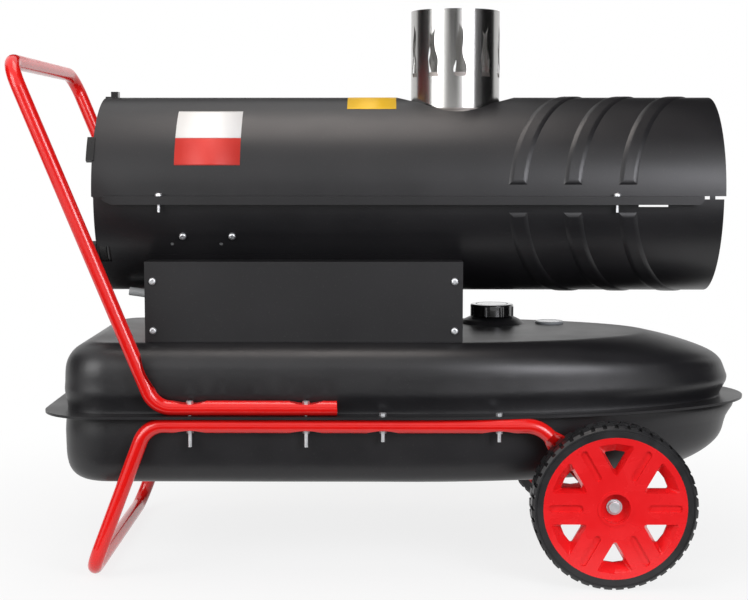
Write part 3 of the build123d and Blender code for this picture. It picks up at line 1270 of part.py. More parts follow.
def combustion_chamber():
    """Long drum closed by a shallow dome at the outlet end."""
    inner = CHAMBER_R - STEEL_T
    tube = rod_x(CHAMBER_R, CHAMBER_X0, CHAMBER_X1) - rod_x(inner, CHAMBER_X0 - PAST, CHAMBER_X1)
    dome = rod_x(CHAMBER_R, CHAMBER_X1 - STEEL_T, CHAMBER_X1 + CHAMBER_DOME)
    dome = fillet(dome.edges().group_by(Axis.X)[-1], CHAMBER_DOME - 1)
    hollow = rod_x(inner, CHAMBER_X1 - PAST, CHAMBER_X1 + CHAMBER_DOME - STEEL_T)
    hollow = fillet(hollow.edges().group_by(Axis.X)[-1], CHAMBER_DOME - 1 - STEEL_T / 2)
    shell = tube + (dome - hollow)
    for k in range(PIPES):
        shell -= across_pipe(k, PIPE_R, CHAMBER_R + PAST)
    return shell


def heat_exchanger():
    """Ring-shaped drum round the chamber, its transfer pipes and the flue stub."""
    drum = rod_x(DRUM_R, DRUM_X0, DRUM_X1) - rod_x(DRUM_IN_R, DRUM_X0 - PAST, DRUM_X1 + PAST)
    hollow = rod_x(DRUM_R - STEEL_T, DRUM_X0 + STEEL_T, DRUM_X1 - STEEL_T)
    drum -= hollow - rod_x(DRUM_IN_R + STEEL_T, DRUM_X0, DRUM_X1)
    chamber = rod_x(CHAMBER_R + WELD_GAP, DRUM_X0 - PAST, DRUM_X1 + PAST)
    for k in range(PIPES):
        pipe = across_pipe(k, PIPE_R + PIPE_T, DRUM_IN_R + STEEL_T / 2) - chamber
        drum = drum + pipe - across_pipe(k, PIPE_R, DRUM_IN_R + STEEL_T * 2)
    stub = rod_z(STUB_R, AXIS_Z, STUB_Z1, FLUE_X) + rod_z(FLUE_R, FLUE_Z0 - BEAD_H, FLUE_Z0, FLUE_X)
    drum += stub - rod_x(DRUM_R - STEEL_T / 2, DRUM_X0, DRUM_X1)
    floor = AXIS_Z + DRUM_IN_R + STEEL_T * 2
    drum -= rod_z(STUB_R - STUB_T - SOCKET_STEP, floor, STUB_Z1 + PAST, FLUE_X)
    return drum - rod_z(STUB_R - STUB_T, STUB_Z1 - SOCKET_DEPTH, STUB_Z1 + PAST, FLUE_X)


def chamber_feet():
    """Brackets that carry the exchanger on the lower shell."""
    feet = []
    for x in FOOT_X:
        web = rod_x(STRAP_R - BRACKET_T / 2, x, x + FOOT_WEB)
        web -= rod_x(DRUM_R + TUBE_SEAT, x - PAST, x + FOOT_WEB + PAST)
        sole = rod_x(STRAP_R, x, x + FOOT_W) - rod_x(STRAP_R - BRACKET_T, x - PAST, x + FOOT_W + PAST)
        keep = block(x - PAST, x + FOOT_W + PAST, FOOT_Y[0], FOOT_Y[1], AXIS_Z - SHELL_R, AXIS_Z)
        feet += both_sides((web + sole) & keep)
    return group(feet)


# ---------------------------------------------------------------- box under the barrel
def box_tray():
    """Floor, end walls that carry the barrel, top ledges and side returns."""
    x0, x1 = BOX_X0, BOX_X1
    saddle_r = SHELL_R + SEAT
    pieces = [block(x0, x1, -BOX_IN, BOX_IN, TANK_TOP_Z, TANK_TOP_Z + BOX_T)]
    for xa in (x0, x1 - BOX_T):
        pieces.append(block(xa, xa + BOX_T, -BOX_IN, BOX_IN, TANK_TOP_Z, BOX_Z1))
    pieces += both_sides(block(x0, x1, LEDGE_Y, BOX_IN, BOX_Z1 - BOX_T, BOX_Z1))
    for xa, xb in ((x0, x0 + RETURN_W), (x1 - RETURN_W, x1)):
        pieces += both_sides(block(xa, xb, BOX_IN - BOX_T, BOX_IN, TANK_TOP_Z, BOX_Z1))
    lip = rod_x(saddle_r + BOX_T, x0, x1) & block(x0, x1, -BOX_Y, BOX_Y, BOX_Z1 - BOX_T, BOX_Z1 + SADDLE_H)
    tray = fuse(pieces) + lip - rod_x(saddle_r, x0 - PAST, x1 + PAST)
    below = rod_x(saddle_r + BOX_T, x0 + BOX_T, x1 - BOX_T)
    tray -= below & block(x0, x1, -BOX_Y, BOX_Y, TANK_TOP_Z + BOX_T, BOX_Z1 - BOX_T)
    tray -= rod_z(PICKUP_NUT, TANK_TOP_Z - PAST, TANK_TOP_Z + PAST, PICKUP_X, PICKUP_Y)
    tray -= gland_place() * Cylinder(GLAND_R - GLAND_STEP, GLAND_LENGTH / 2)
    for x in BOX_SCREW_X:
        for z in BOX_SCREW_Z:
            tray -= rod_y(SCREW_R, -BOX_Y - PAST, BOX_Y + PAST, x, z)
    return tray


def panel_plate(side):
    """Flat side cover of the box with its screw holes."""
    plate = block(BOX_X0, BOX_X1, side * BOX_IN, side * BOX_Y, PANEL_Z0, BOX_Z1)
    for x in BOX_SCREW_X:
        for z in BOX_SCREW_Z:
            plate -= rod_y(SCREW_R + SCREW_GAP, side * BOX_IN - PAST, side * BOX_Y + PAST, x, z)
    return plate


def control_panel():
    """Far side cover with the openings for switch, thermostat and reset button."""
    low = BOX_IN - PAST
    high = BOX_Y + PAST
    plate = panel_plate(1)
    plate -= block(SWITCH_X - SWITCH_W / 2, SWITCH_X + SWITCH_W / 2, low, high,
                   CONTROL_Z - SWITCH_H / 2, CONTROL_Z + SWITCH_H / 2)
    plate -= rod_y(COLLAR_R + SWITCH_GAP, low, high, KNOB_X, CONTROL_Z)
    return plate - rod_y(BUSH_R + SWITCH_GAP, low, high, RESET_X, CONTROL_Z)


def panel_screws():
    screws = []
    for x in BOX_SCREW_X:
        for z in BOX_SCREW_Z:
            seat = Plane(origin=(x, -BOX_Y, z), x_dir=(1, 0, 0), z_dir=(0, -1, 0))
            screws += both_sides(seat * screw(SCREW_R * 4.5))
    return group(screws)


def gland_place():
    """Where the supply lead enters the box, its axis tilted down."""
    return Pos(BOX_X0, GLAND_Y, GLAND_Z) * Rot(0, 90 + GLAND_TILT, 0)


def cord_gland():
    """Grey sleeve that guards the supply lead where it enters the box."""
    neck_r = GLAND_R - GLAND_STEP
    outside = Pos(0, 0, -GLAND_LENGTH / 2) * Cylinder(GLAND_R, GLAND_LENGTH)
    sleeve = gland_place() * outside - block(BOX_X0, BOX_X0 + PAST * 2, GLAND_Y - GLAND_LENGTH,
                                             GLAND_Y + GLAND_LENGTH, PANEL_Z0, BOX_Z1)
    sleeve += gland_place() * Cylinder(neck_r, GLAND_IN * 2)
    return sleeve - gland_place() * Cylinder(GLAND_R - GLAND_T, GLAND_LENGTH * 3)


def switch_block(wide, high, y0, y1):
    """Block round the middle of the switch."""
    return block(SWITCH_X - wide / 2, SWITCH_X + wide / 2, y0, y1, CONTROL_Z - high / 2, CONTROL_Z + high / 2)


def switch_housing():
    """Frame of the power switch, open for the rocker, with the rocker's pivot holes."""
    wide = SWITCH_W - 2 * SWITCH_GAP
    high = SWITCH_H - 2 * SWITCH_GAP
    frame = switch_block(wide + 2 * SWITCH_RIM, high + 2 * SWITCH_RIM, BOX_Y, BOX_Y + SWITCH_RIM)
    frame += switch_block(wide, high, BOX_Y - SWITCH_DEPTH, BOX_Y)
    frame -= switch_block(ROCKER_W + 1, high - 2 * SWITCH_WALL, BOX_Y - SWITCH_POCKET, BOX_Y + PAST)
    return frame - rod_x(PIVOT_R + SHAFT_FIT, SWITCH_X - PIVOT_HALF, SWITCH_X + PIVOT_HALF, ROCKER_Y, CONTROL_Z)


def power_rocker():
    """Rocker on a pivot along X in the middle of the switch."""
    x0 = SWITCH_X - ROCKER_W / 2
    x1 = SWITCH_X + ROCKER_W / 2
    body = rod_x(ROCKER_R, x0, x1, ROCKER_Y - ROCKER_R / 2, CONTROL_Z)
    body &= switch_block(ROCKER_W + PAST, ROCKER_H, ROCKER_Y - ROCKER_DEEP, ROCKER_Y + ROCKER_R)
    body += switch_block(ROCKER_W, ROCKER_H - 1, ROCKER_Y - 1, ROCKER_Y + ROCKER_FACE)
    body += rod_x(PIVOT_R, SWITCH_X - PIVOT_HALF + SWITCH_GAP, SWITCH_X + PIVOT_HALF - SWITCH_GAP,
                  ROCKER_Y, CONTROL_Z)
    pivot = Pos(SWITCH_X, ROCKER_Y, CONTROL_Z)
    return pivot * Rot(ROCKER_TILT, 0, 0) * pivot.inverse() * body


def thermostat_body():
    """Thermostat behind the panel with its threaded collar."""
    half = THERMOSTAT_HALF
    body = block(KNOB_X - half, KNOB_X + half, BOX_Y - THERMOSTAT_H, BOX_IN,
                 CONTROL_Z - half, CONTROL_Z + half)
    body += rod_y(COLLAR_R, BOX_IN - 1, BOX_Y + COLLAR_PROUD, KNOB_X, CONTROL_Z)
    return body - rod_y(SPINDLE_R + SHAFT_FIT, BOX_Y - SPINDLE_LENGTH - 1, BOX_Y + PAST, KNOB_X, CONTROL_Z)


def thermostat_knob():
    """Fluted knob with a pointer groove, on a short spindle."""
    y0 = BOX_Y + KNOB_GAP
    y1 = y0 + KNOB_H
    knob = rod_y(KNOB_R, y0, y1, KNOB_X, CONTROL_Z)
    knob = fillet(knob.edges().group_by(Axis.Y)[-1], KNOB_ROUND)
    centre = Pos(KNOB_X, 0, CONTROL_Z)
    flute = rod_y(FLUTE_R, y0 + KNOB_H / 5, y1 + PAST, 0, KNOB_R + FLUTE_R / 2)
    for k in range(KNOB_FLUTES):
        knob -= centre * Rot(0, (k + 0.5) * 360 / KNOB_FLUTES, 0) * flute
    knob -= centre * block(-POINTER_T, POINTER_T, y1 - 1, y1 + PAST, KNOB_R / 4, KNOB_R - FLUTE_R)
    return knob + rod_y(SPINDLE_R, BOX_Y - SPINDLE_LENGTH, y0, KNOB_X, CONTROL_Z)


def reset_housing():
    """Bush of the reset button, clamped in the panel."""
    bush = rod_y(BUSH_RIM_R, BOX_Y, BOX_Y + BUSH_RIM_T, RESET_X, CONTROL_Z)
    bush += rod_y(BUSH_R, BOX_Y - BUSH_DEPTH, BOX_Y, RESET_X, CONTROL_Z)
    return bush - rod_y(BUTTON_R + FIT, BOX_Y - BUSH_BORE, BOX_Y + PAST, RESET_X, CONTROL_Z)


def reset_button():
    button = rod_y(BUTTON_R, BOX_Y - BUTTON_IN, BOX_Y + BUTTON_PROUD, RESET_X, CONTROL_Z)
    return fillet(button.edges().group_by(Axis.Y)[-1], 1.0)


def control_board():
    """Circuit board on four pillars, with its relays and capacitors."""
    x0 = BOARD_X1 - BOARD_LENGTH
    y0, y1 = BOARD_Y
    floor = TANK_TOP_Z + BOX_T
    low = floor + BOARD_UP
    top = low + BOARD_T
    pieces = [block(x0, BOARD_X1, y0, y1, low, top)]
    for x in (x0 + BOARD_IN, BOARD_X1 - BOARD_IN):
        for y in (y0 + BOARD_IN, y1 - BOARD_IN):
            pieces.append(rod_z(PILLAR_R, floor, low, x, y))
    for x in (x0 + RELAY_W / 2, x0 + RELAY_W * 2):
        pieces.append(block(x, x + RELAY_W, y1 - RELAY_W * 2.5, y1 - RELAY_W * 1.5, top, top + RELAY_H))
    pieces.append(rod_z(CAPACITOR_R, top, top + CAPACITOR_H, BOARD_X1 - CAPACITOR_R * 2, y1 - RELAY_W))
    pieces.append(block(x0 + RELAY_W / 2, BOARD_X1 - RELAY_W, y0 + BOARD_IN, y0 + RELAY_W * 0.8,
                        top, top + TERMINAL_H))
    return fuse(pieces)


def ignition_transformer():
    """Potted transformer with its two spark terminals."""
    wide, deep, high = COIL_SIZE
    floor = TANK_TOP_Z + BOX_T
    core = block(COIL_X0, COIL_X0 + wide, COIL_Y, COIL_Y + deep, floor, floor + high)
    core = fillet(core.edges().filter_by(Axis.Z), COIL_ROUND)
    for x in (COIL_X0 + wide * 0.27, COIL_X0 + wide * 0.73):
        core += rod_z(PORT_R, floor + high, floor + high + PORT_H, x, COIL_Y + deep / 2)
    return core


# ---------------------------------------------------------------- hoses
def hose(points, radii):
    """Small hose along straight runs and arcs."""
    path = FilletPolyline(*points, radius=radii)
    start = Vector(*points[0])
    plane = Plane(origin=start, z_dir=Vector(*points[1]) - start)
    return sweep(plane * Circle(HOSE_R), path)


def air_hose():
    """From the pump, down through the box and up to the nozzle."""
    top = AXIS_Z - PUMP_R - PORT_H
    low = HOSE_LOW_Z
    cut = HOSE_CUT
    points = [(AIR_PORT_X, 0, top), (AIR_PORT_X, 0, top - cut), (AIR_HOSE_X0, 0, top - cut * 2.2),
              (AIR_HOSE_X0, 0, low + cut), (AIR_HOSE_X0 + cut, 0, low), (AIR_HOSE_X1 - cut, 0, low),
              (AIR_HOSE_X1, 0, low + cut), (AIR_HOSE_X1, 0, AXIS_Z - NOZZLE_PORT_H)]
    return hose(points, [HOSE_BEND] * (len(points) - 2))


def fuel_line():
    """Two lengths of hose, one each side of the filter."""
    lift = PICKUP_Z1 + HOSE_CUT
    tight, wide = FUEL_BENDS
    first = [(PICKUP_X, PICKUP_Y, PICKUP_Z1), (PICKUP_X, PICKUP_Y, lift), (PICKUP_X + 26, FUEL_Y, lift),
             (PICKUP_X + 32, FUEL_Y, FUEL_Z), (FILTER_MID_X - FILTER_HALF, FUEL_Y, FUEL_Z)]
    second = [(FILTER_MID_X + FILTER_HALF, FUEL_Y, FUEL_Z), (FUEL_HOSE_X1, FUEL_Y, FUEL_Z),
              (FUEL_HOSE_X1, 0, FUEL_Z + 22), (FUEL_HOSE_X1, 0, AXIS_Z - NOZZLE_PORT_H)]
    return group([hose(first, [tight] * 3), hose(second, [wide] * 2)])


def fuel_filter():
    x = FILTER_MID_X
    bowl = rod_x(FILTER_BOWL_R, x - FILTER_BOWL_HALF, x + FILTER_BOWL_HALF, FUEL_Y, FUEL_Z)
    return bowl + rod_x(FILTER_SPIGOT_R, x - FILTER_HALF, x + FILTER_HALF, FUEL_Y, FUEL_Z)


# ---------------------------------------------------------------- write every node
def main():
    save(tank_upper(), "tank_upper")
    save(tank_lower(), "tank_lower")
    save(filler_neck(), "filler_neck")
    save(fuel_cap(), "fuel_cap")
    save(gauge_body(), "gauge_body")
    save(gauge_lens(), "gauge_lens")
    save(gauge_pointer(), "gauge_pointer")
    save(gauge_float(), "gauge_float")
    save(drain_plug(), "drain_plug")
    save(fuel_pickup(), "fuel_pickup")
    save(fuel_filter(), "fuel_filter")
    save(fuel_line(), "fuel_line")
    save(air_hose(), "air_hose")
    save(handle(), "handle")
    save(frame_tube(), "frame_tube")
    save(frame_bolts(), "frame_bolts")
    save(frame_nuts(), "frame_nuts")
    save(axle(), "axle")
    save(axle_spacers(), "axle_spacers")
    save(axle_retainers(), "axle_retainers")
    for shape, node in zip(place_wheel(wheel_rim()), ("rim_near", "rim_far")):
        save(shape, node)
    for shape, node in zip(place_wheel(wheel_tyre()), ("tyre_near", "tyre_far")):
        save(shape, node)
    save(upper_shell(), "upper_shell")
    save(lower_shell(), "lower_shell")
    save(seam_screws(), "seam_screws")
    save(shell_screws(), "shell_screws")
    save(flue_sleeve(), "flue_sleeve")
    save(fan_guard(), "fan_guard")
    save(guard_clips(), "guard_clips")
    save(motor_bracket(), "motor_bracket")
    save(motor_housing(), "motor_housing")
    save(motor_end_cap(), "motor_end_cap")
    save(motor_rotor(), "motor_rotor")
    save(motor_stator(), "motor_stator")
    save(motor_shaft(), "motor_shaft")
    save(fan(), "fan")
    save(pump_body(), "pump_body")
    save(pump_rotor(), "pump_rotor")
    save(filter_cover(), "filter_cover")
    save(burner_head(), "burner_head")
    save(nozzle(), "nozzle")
    save(electrodes(), "electrodes")
    save(combustion_chamber(), "combustion_chamber")
    save(heat_exchanger(), "heat_exchanger")
    save(chamber_feet(), "chamber_feet")
    save(box_tray(), "box_tray")
    save(panel_plate(-1), "box_panel")
    save(control_panel(), "control_panel")
    save(panel_screws(), "panel_screws")
    save(cord_gland(), "cord_gland")
    save(switch_housing(), "switch_housing")
    save(power_rocker(), "power_rocker")
    save(thermostat_body(), "thermostat_body")
    save(thermostat_knob(), "thermostat_knob")
    save(reset_housing(), "reset_housing")
    save(reset_button(), "reset_button")
    save(control_board(), "control_board")
    save(ignition_transformer(), "ignition_transformer")


main()
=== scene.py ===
# %% [markdown]
# # A forced air heater, dressed for a studio photograph
#
# The heater is a black steel barrel on a black fuel tank, with a red tube frame, a red handle,
# two red wheels and a bright flue. Its shapes come from the CAD frame. This notebook gives each
# piece the finish of the real one, adds what the frame leaves to the eye, and lights the whole
# as a shop would for a catalogue.

import math

import bpy
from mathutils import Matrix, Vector


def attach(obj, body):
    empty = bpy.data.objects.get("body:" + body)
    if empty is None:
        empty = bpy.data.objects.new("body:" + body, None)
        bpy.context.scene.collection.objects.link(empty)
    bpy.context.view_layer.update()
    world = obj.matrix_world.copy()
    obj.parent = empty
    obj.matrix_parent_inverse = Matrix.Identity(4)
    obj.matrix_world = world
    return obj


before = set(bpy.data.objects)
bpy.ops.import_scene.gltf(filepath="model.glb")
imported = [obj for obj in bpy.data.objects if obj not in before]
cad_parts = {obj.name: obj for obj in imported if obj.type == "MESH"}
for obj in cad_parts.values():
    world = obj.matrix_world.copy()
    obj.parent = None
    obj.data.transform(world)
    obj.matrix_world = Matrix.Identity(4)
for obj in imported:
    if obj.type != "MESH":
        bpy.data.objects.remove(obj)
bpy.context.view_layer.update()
print("pieces in the frame:", len(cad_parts))

# %% [markdown]
# ## Colours and nodes
#
# A colour that is read from a photograph is an sRGB value, and Blender's sockets expect linear
# light, so one function turns a hex code into linear numbers. A second function adds one node
# with its settings and links, and a third feeds a shader what nearly every finish sets: colour,
# roughness and normal. With these, each finish below reads as a list of what the surface is made
# of. All patterns use Object coordinates, which are metres here, so a pattern's scale is one
# divided by its real size.

# %% Helpers for colour and nodes
# The Mix node's colour sockets share their names with its number sockets, so they go by index.
COLOUR_A = 6
COLOUR_B = 7
COLOUR_OUT = 2

# Nearly all of a noise pattern lies between these two values.
NOISE_LOW = 0.3
NOISE_HIGH = 0.7


def colour(code):
    """Linear RGBA from an sRGB hex code, by the curve of the sRGB standard."""
    parts = [int(code[i:i + 2], 16) / 255 for i in (1, 3, 5)]
    linear = [p / 12.92 if p <= 0.04045 else ((p + 0.055) / 1.055) ** 2.4 for p in parts]
    return (*linear, 1.0)


def per_mm(size):
    """Texture scale for a pattern whose features are this many millimetres wide."""
    return 1000.0 / size


def add(tree, kind, inputs=None, **settings):
    """Adds a node; inputs maps a socket to a value or to the output that feeds it."""
    made = tree.nodes.new(kind)
    for name, value in settings.items():
        setattr(made, name, value)
    for key, value in (inputs or {}).items():
        if isinstance(value, bpy.types.NodeSocket):
            tree.links.new(value, made.inputs[key])
        else:
            made.inputs[key].default_value = value
    return made


def feed(tree, shader, tone, rough, bump):
    """Links a shader to the nodes that give its colour, its roughness and its normal."""
    tree.links.new(tone.outputs[COLOUR_OUT], shader.inputs["Base Color"])
    tree.links.new(rough.outputs["Result"], shader.inputs["Roughness"])
    tree.links.new(bump.outputs["Normal"], shader.inputs["Normal"])


def new_material(name):
    """Empty node material with a Principled shader; returns material, tree, shader, coordinates."""
    material = bpy.data.materials.new(name)
    material.use_nodes = True
    tree = material.node_tree
    tree.nodes.clear()
    shader = add(tree, "ShaderNodeBsdfPrincipled")
    add(tree, "ShaderNodeOutputMaterial", {"Surface": shader.outputs["BSDF"]})
    place = add(tree, "ShaderNodeTexCoord").outputs["Object"]
    return material, tree, shader, place


def dress(material, *nodes):
    """Gives a material to the named CAD nodes."""
    for name in nodes:
        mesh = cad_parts[name].data
        mesh.materials.clear()
        mesh.materials.append(material)
    print(material.name, "on", len(nodes), "pieces")


print("texture scale of a 1 mm pattern:", per_mm(1.0))

# %% [markdown]
# ## Satin black powder coat
#
# The barrel, tank and box are pressed sheet steel, sprayed with dry epoxy-polyester powder and
# baked. The melt leaves a fine orange peel, about a millimetre and a half from crest to crest,
# which spreads each highlight into a soft band. A plain black would look like a hole in the
# picture, so the base is a warm near-black, slightly uneven, with a scatter of dust that lifts
# it a little, and the roughness drifts where the coat is thicker.

# %% Satin black powder coat
def powder_coat(name, dark, light, rough_range):
    material, tree, shader, place = new_material(name)
    drift = add(tree, "ShaderNodeTexNoise", {"Vector": place, "Scale": per_mm(90), "Detail": 4.0})
    tone = add(tree, "ShaderNodeMix", {"Factor": drift.outputs["Fac"], COLOUR_A: colour(dark),
                                       COLOUR_B: colour(light)}, data_type="RGBA")
    specks = add(tree, "ShaderNodeTexNoise", {"Vector": place, "Scale": per_mm(2.2), "Detail": 2.0})
    dust = add(tree, "ShaderNodeMapRange", {"Value": specks.outputs["Fac"], "From Min": 0.62,
                                            "From Max": 0.80, "To Min": 0.0, "To Max": 0.06})
    dusty = add(tree, "ShaderNodeMix", {"Factor": dust.outputs["Result"],
                                        COLOUR_A: tone.outputs[COLOUR_OUT],
                                        COLOUR_B: colour("#8a8682")}, data_type="RGBA")
    rough = add(tree, "ShaderNodeMapRange", {"Value": drift.outputs["Fac"], "From Min": NOISE_LOW,
                                             "From Max": NOISE_HIGH, "To Min": rough_range[0],
                                             "To Max": rough_range[1]})
    peel = add(tree, "ShaderNodeTexNoise", {"Vector": place, "Scale": per_mm(1.5), "Detail": 1.0})
    bump = add(tree, "ShaderNodeBump", {"Height": peel.outputs["Fac"], "Strength": 0.10,
                                        "Distance": 0.0004})
    feed(tree, shader, dusty, rough, bump)
    shader.inputs["IOR"].default_value = 1.5
    return material


black_coat = powder_coat("satin_black_powder_coat", "#141416", "#1b1a1c", (0.34, 0.42))
dress(black_coat, "upper_shell", "lower_shell", "tank_upper", "tank_lower", "box_tray", "box_panel",
      "control_panel", "filler_neck", "fan_guard")

# %% [markdown]
# ## Gloss red powder coat
#
# The handle and the frame are 19 mm steel tube, bent, drilled and coated in a gloss polyester
# powder. Gloss powder flows out further than satin, so its peel is wider and flatter, and it
# shows a clear bright line along each tube. A thin clear coat on the shader gives that second,
# sharper reflection over the soft one.

# %% Gloss red powder coat
def gloss_tube_coat():
    material, tree, shader, place = new_material("gloss_red_powder_coat")
    drift = add(tree, "ShaderNodeTexNoise", {"Vector": place, "Scale": per_mm(60), "Detail": 3.0})
    tone = add(tree, "ShaderNodeMix", {"Factor": drift.outputs["Fac"], COLOUR_A: colour("#dc1412"),
                                       COLOUR_B: colour("#e61c18")}, data_type="RGBA")
    rough = add(tree, "ShaderNodeMapRange", {"Value": drift.outputs["Fac"], "From Min": NOISE_LOW,
                                             "From Max": NOISE_HIGH, "To Min": 0.15,
                                             "To Max": 0.22})
    peel = add(tree, "ShaderNodeTexNoise", {"Vector": place, "Scale": per_mm(2.5), "Detail": 1.0})
    bump = add(tree, "ShaderNodeBump", {"Height": peel.outputs["Fac"], "Strength": 0.02,
                                        "Distance": 0.0002})
    feed(tree, shader, tone, rough, bump)
    shader.inputs["Coat Weight"].default_value = 0.15
    shader.inputs["Coat Roughness"].default_value = 0.08
    return material


dress(gloss_tube_coat(), "handle", "frame_tube")

# %% [markdown]
# ## Moulded plastics
#
# The wheels are injection-moulded polypropylene: strong colour all through, a skin that copies a
# lightly spark-eroded tool, and very little sheen variation apart from faint flow marks. The cap,
# clips, knob and gland are the same process in other colours. One recipe serves them all, with
# the grain of the tool as a fine bump of about 0.8 mm, drawn coarser than life so that it shows.
# The fuel cap comes from a polished tool, so it has a clear coat over the plastic as well.

# %% Moulded plastics
def moulded(name, low, high, rough, grain=0.8, strength=0.06):
    material, tree, shader, place = new_material(name)
    flow = add(tree, "ShaderNodeTexNoise", {"Vector": place, "Scale": per_mm(35), "Detail": 3.0,
                                            "Distortion": 0.6})
    tone = add(tree, "ShaderNodeMix", {"Factor": flow.outputs["Fac"], COLOUR_A: colour(low),
                                       COLOUR_B: colour(high)}, data_type="RGBA")
    sheen = add(tree, "ShaderNodeMapRange", {"Value": flow.outputs["Fac"], "From Min": NOISE_LOW,
                                             "From Max": NOISE_HIGH, "To Min": rough - 0.04,
                                             "To Max": rough + 0.05})
    skin = add(tree, "ShaderNodeTexNoise", {"Vector": place, "Scale": per_mm(grain), "Detail": 2.0})
    bump = add(tree, "ShaderNodeBump", {"Height": skin.outputs["Fac"], "Strength": strength,
                                        "Distance": 0.0003})
    feed(tree, shader, tone, sheen, bump)
    shader.inputs["IOR"].default_value = 1.49
    return material


dress(moulded("moulded_red_polypropylene", "#e0181c", "#ec2226", 0.26), "rim_near", "rim_far")
dress(moulded("moulded_red_abs", "#c8171a", "#d61f22", 0.28), "power_rocker", "reset_button",
      "gauge_pointer")
cap_plastic = moulded("polished_black_abs", "#101010", "#181718", 0.16)
cap_shader = cap_plastic.node_tree.nodes["Principled BSDF"]
cap_shader.inputs["Coat Weight"].default_value = 1.0
cap_shader.inputs["Coat Roughness"].default_value = 0.05
dress(cap_plastic, "fuel_cap")
dress(moulded("moulded_black_abs", "#141414", "#1c1b1c", 0.24), "thermostat_knob", "switch_housing",
      "reset_housing", "guard_clips", "filter_cover", "thermostat_body", "gauge_float",
      "ignition_transformer")
dress(moulded("moulded_grey_nylon", "#a9acae", "#b7babb", 0.45), "cord_gland")

# %% [markdown]
# ## Tyre rubber
#
# The tyres are solid rubber, cured in a mould: a warm charcoal rather than black, matte on the
# walls and a little greasy on the lugs, where talc from the mould dries pale in the corners.
# A cloudy pattern in both colour and roughness keeps the wall from looking like painted metal.
# The hoses are extruded nitrile rubber, smooth enough to share the recipe of the plastics.

# %% Tyre rubber
def tyre_rubber():
    material, tree, shader, place = new_material("cured_tyre_rubber")
    cloud = add(tree, "ShaderNodeTexNoise", {"Vector": place, "Scale": per_mm(22), "Detail": 6.0,
                                             "Roughness": 0.62})
    tone = add(tree, "ShaderNodeMix", {"Factor": cloud.outputs["Fac"], COLOUR_A: colour("#0e0e0f"),
                                       COLOUR_B: colour("#1b1b1d")}, data_type="RGBA")
    rough = add(tree, "ShaderNodeMapRange", {"Value": cloud.outputs["Fac"], "From Min": NOISE_LOW,
                                             "From Max": NOISE_HIGH, "To Min": 0.32,
                                             "To Max": 0.52})
    pores = add(tree, "ShaderNodeTexNoise", {"Vector": place, "Scale": per_mm(1.0), "Detail": 3.0})
    bump = add(tree, "ShaderNodeBump", {"Height": pores.outputs["Fac"], "Strength": 0.15,
                                        "Distance": 0.0004})
    feed(tree, shader, tone, rough, bump)
    return material


dress(tyre_rubber(), "tyre_near", "tyre_far")
dress(moulded("extruded_nitrile_hose", "#171717", "#202020", 0.5, grain=1.2, strength=0.1),
      "fuel_line", "air_hose")

# %% [markdown]
# ## Metals
#
# Screws, nuts and the axle are zinc plated: a bright grey with a cloudy crystal bloom. The flue
# is rolled stainless sheet, almost a mirror, with a faint grain that runs up the sleeve and pulls
# each reflection into an upright band. Inside, the burner and exchanger are heat-resisting steel
# that has blued a little, and the motor is cast aluminium. All of them share one recipe: a metal
# whose colour, roughness and grain direction change with the way it was made.

# %% Metals
def metal(name, low, high, rough_range, cloud=12.0, stretch=(1.0, 1.0, 1.0), grain=1.0,
          strength=0.05):
    material, tree, shader, place = new_material(name)
    along = add(tree, "ShaderNodeMapping", {"Vector": place, "Scale": stretch})
    bloom = add(tree, "ShaderNodeTexNoise", {"Vector": along.outputs["Vector"],
                                             "Scale": per_mm(cloud), "Detail": 5.0})
    tone = add(tree, "ShaderNodeMix", {"Factor": bloom.outputs["Fac"], COLOUR_A: colour(low),
                                       COLOUR_B: colour(high)}, data_type="RGBA")
    rough = add(tree, "ShaderNodeMapRange", {"Value": bloom.outputs["Fac"], "From Min": NOISE_LOW,
                                             "From Max": NOISE_HIGH, "To Min": rough_range[0],
                                             "To Max": rough_range[1]})
    lines = add(tree, "ShaderNodeTexNoise", {"Vector": along.outputs["Vector"],
                                             "Scale": per_mm(grain), "Detail": 3.0})
    bump = add(tree, "ShaderNodeBump", {"Height": lines.outputs["Fac"], "Strength": strength,
                                        "Distance": 0.0002})
    feed(tree, shader, tone, rough, bump)
    shader.inputs["Metallic"].default_value = 1.0
    return material


dress(metal("bright_zinc_plate", "#c9cbce", "#e6e7e8", (0.40, 0.52), cloud=5.0), "seam_screws",
      "shell_screws", "panel_screws", "frame_bolts", "frame_nuts", "axle", "axle_spacers",
      "axle_retainers", "drain_plug", "fuel_pickup", "motor_bracket")
dress(metal("rolled_stainless_sheet", "#a5a4a2", "#bdbcba", (0.17, 0.26), cloud=9.0,
            stretch=(1.0, 1.0, 0.03), grain=1.2, strength=0.10), "flue_sleeve")
dress(metal("blued_heat_steel", "#6f6a68", "#8f8a85", (0.35, 0.55), cloud=40.0),
      "combustion_chamber", "heat_exchanger", "burner_head", "chamber_feet")
dress(metal("cast_aluminium", "#a5a5a4", "#bdbdbb", (0.42, 0.58), cloud=8.0, strength=0.2),
      "motor_housing", "motor_end_cap", "fan", "pump_body")
dress(metal("stacked_laminations", "#4a4a4c", "#5c5c5e", (0.4, 0.55), stretch=(12.0, 1.0, 1.0)),
      "motor_rotor", "motor_stator")
dress(metal("ground_shaft_steel", "#a8a8aa", "#bcbcbe", (0.18, 0.28)), "motor_shaft", "pump_rotor")
dress(metal("turned_brass", "#b08a45", "#c39c55", (0.2, 0.32)), "nozzle")
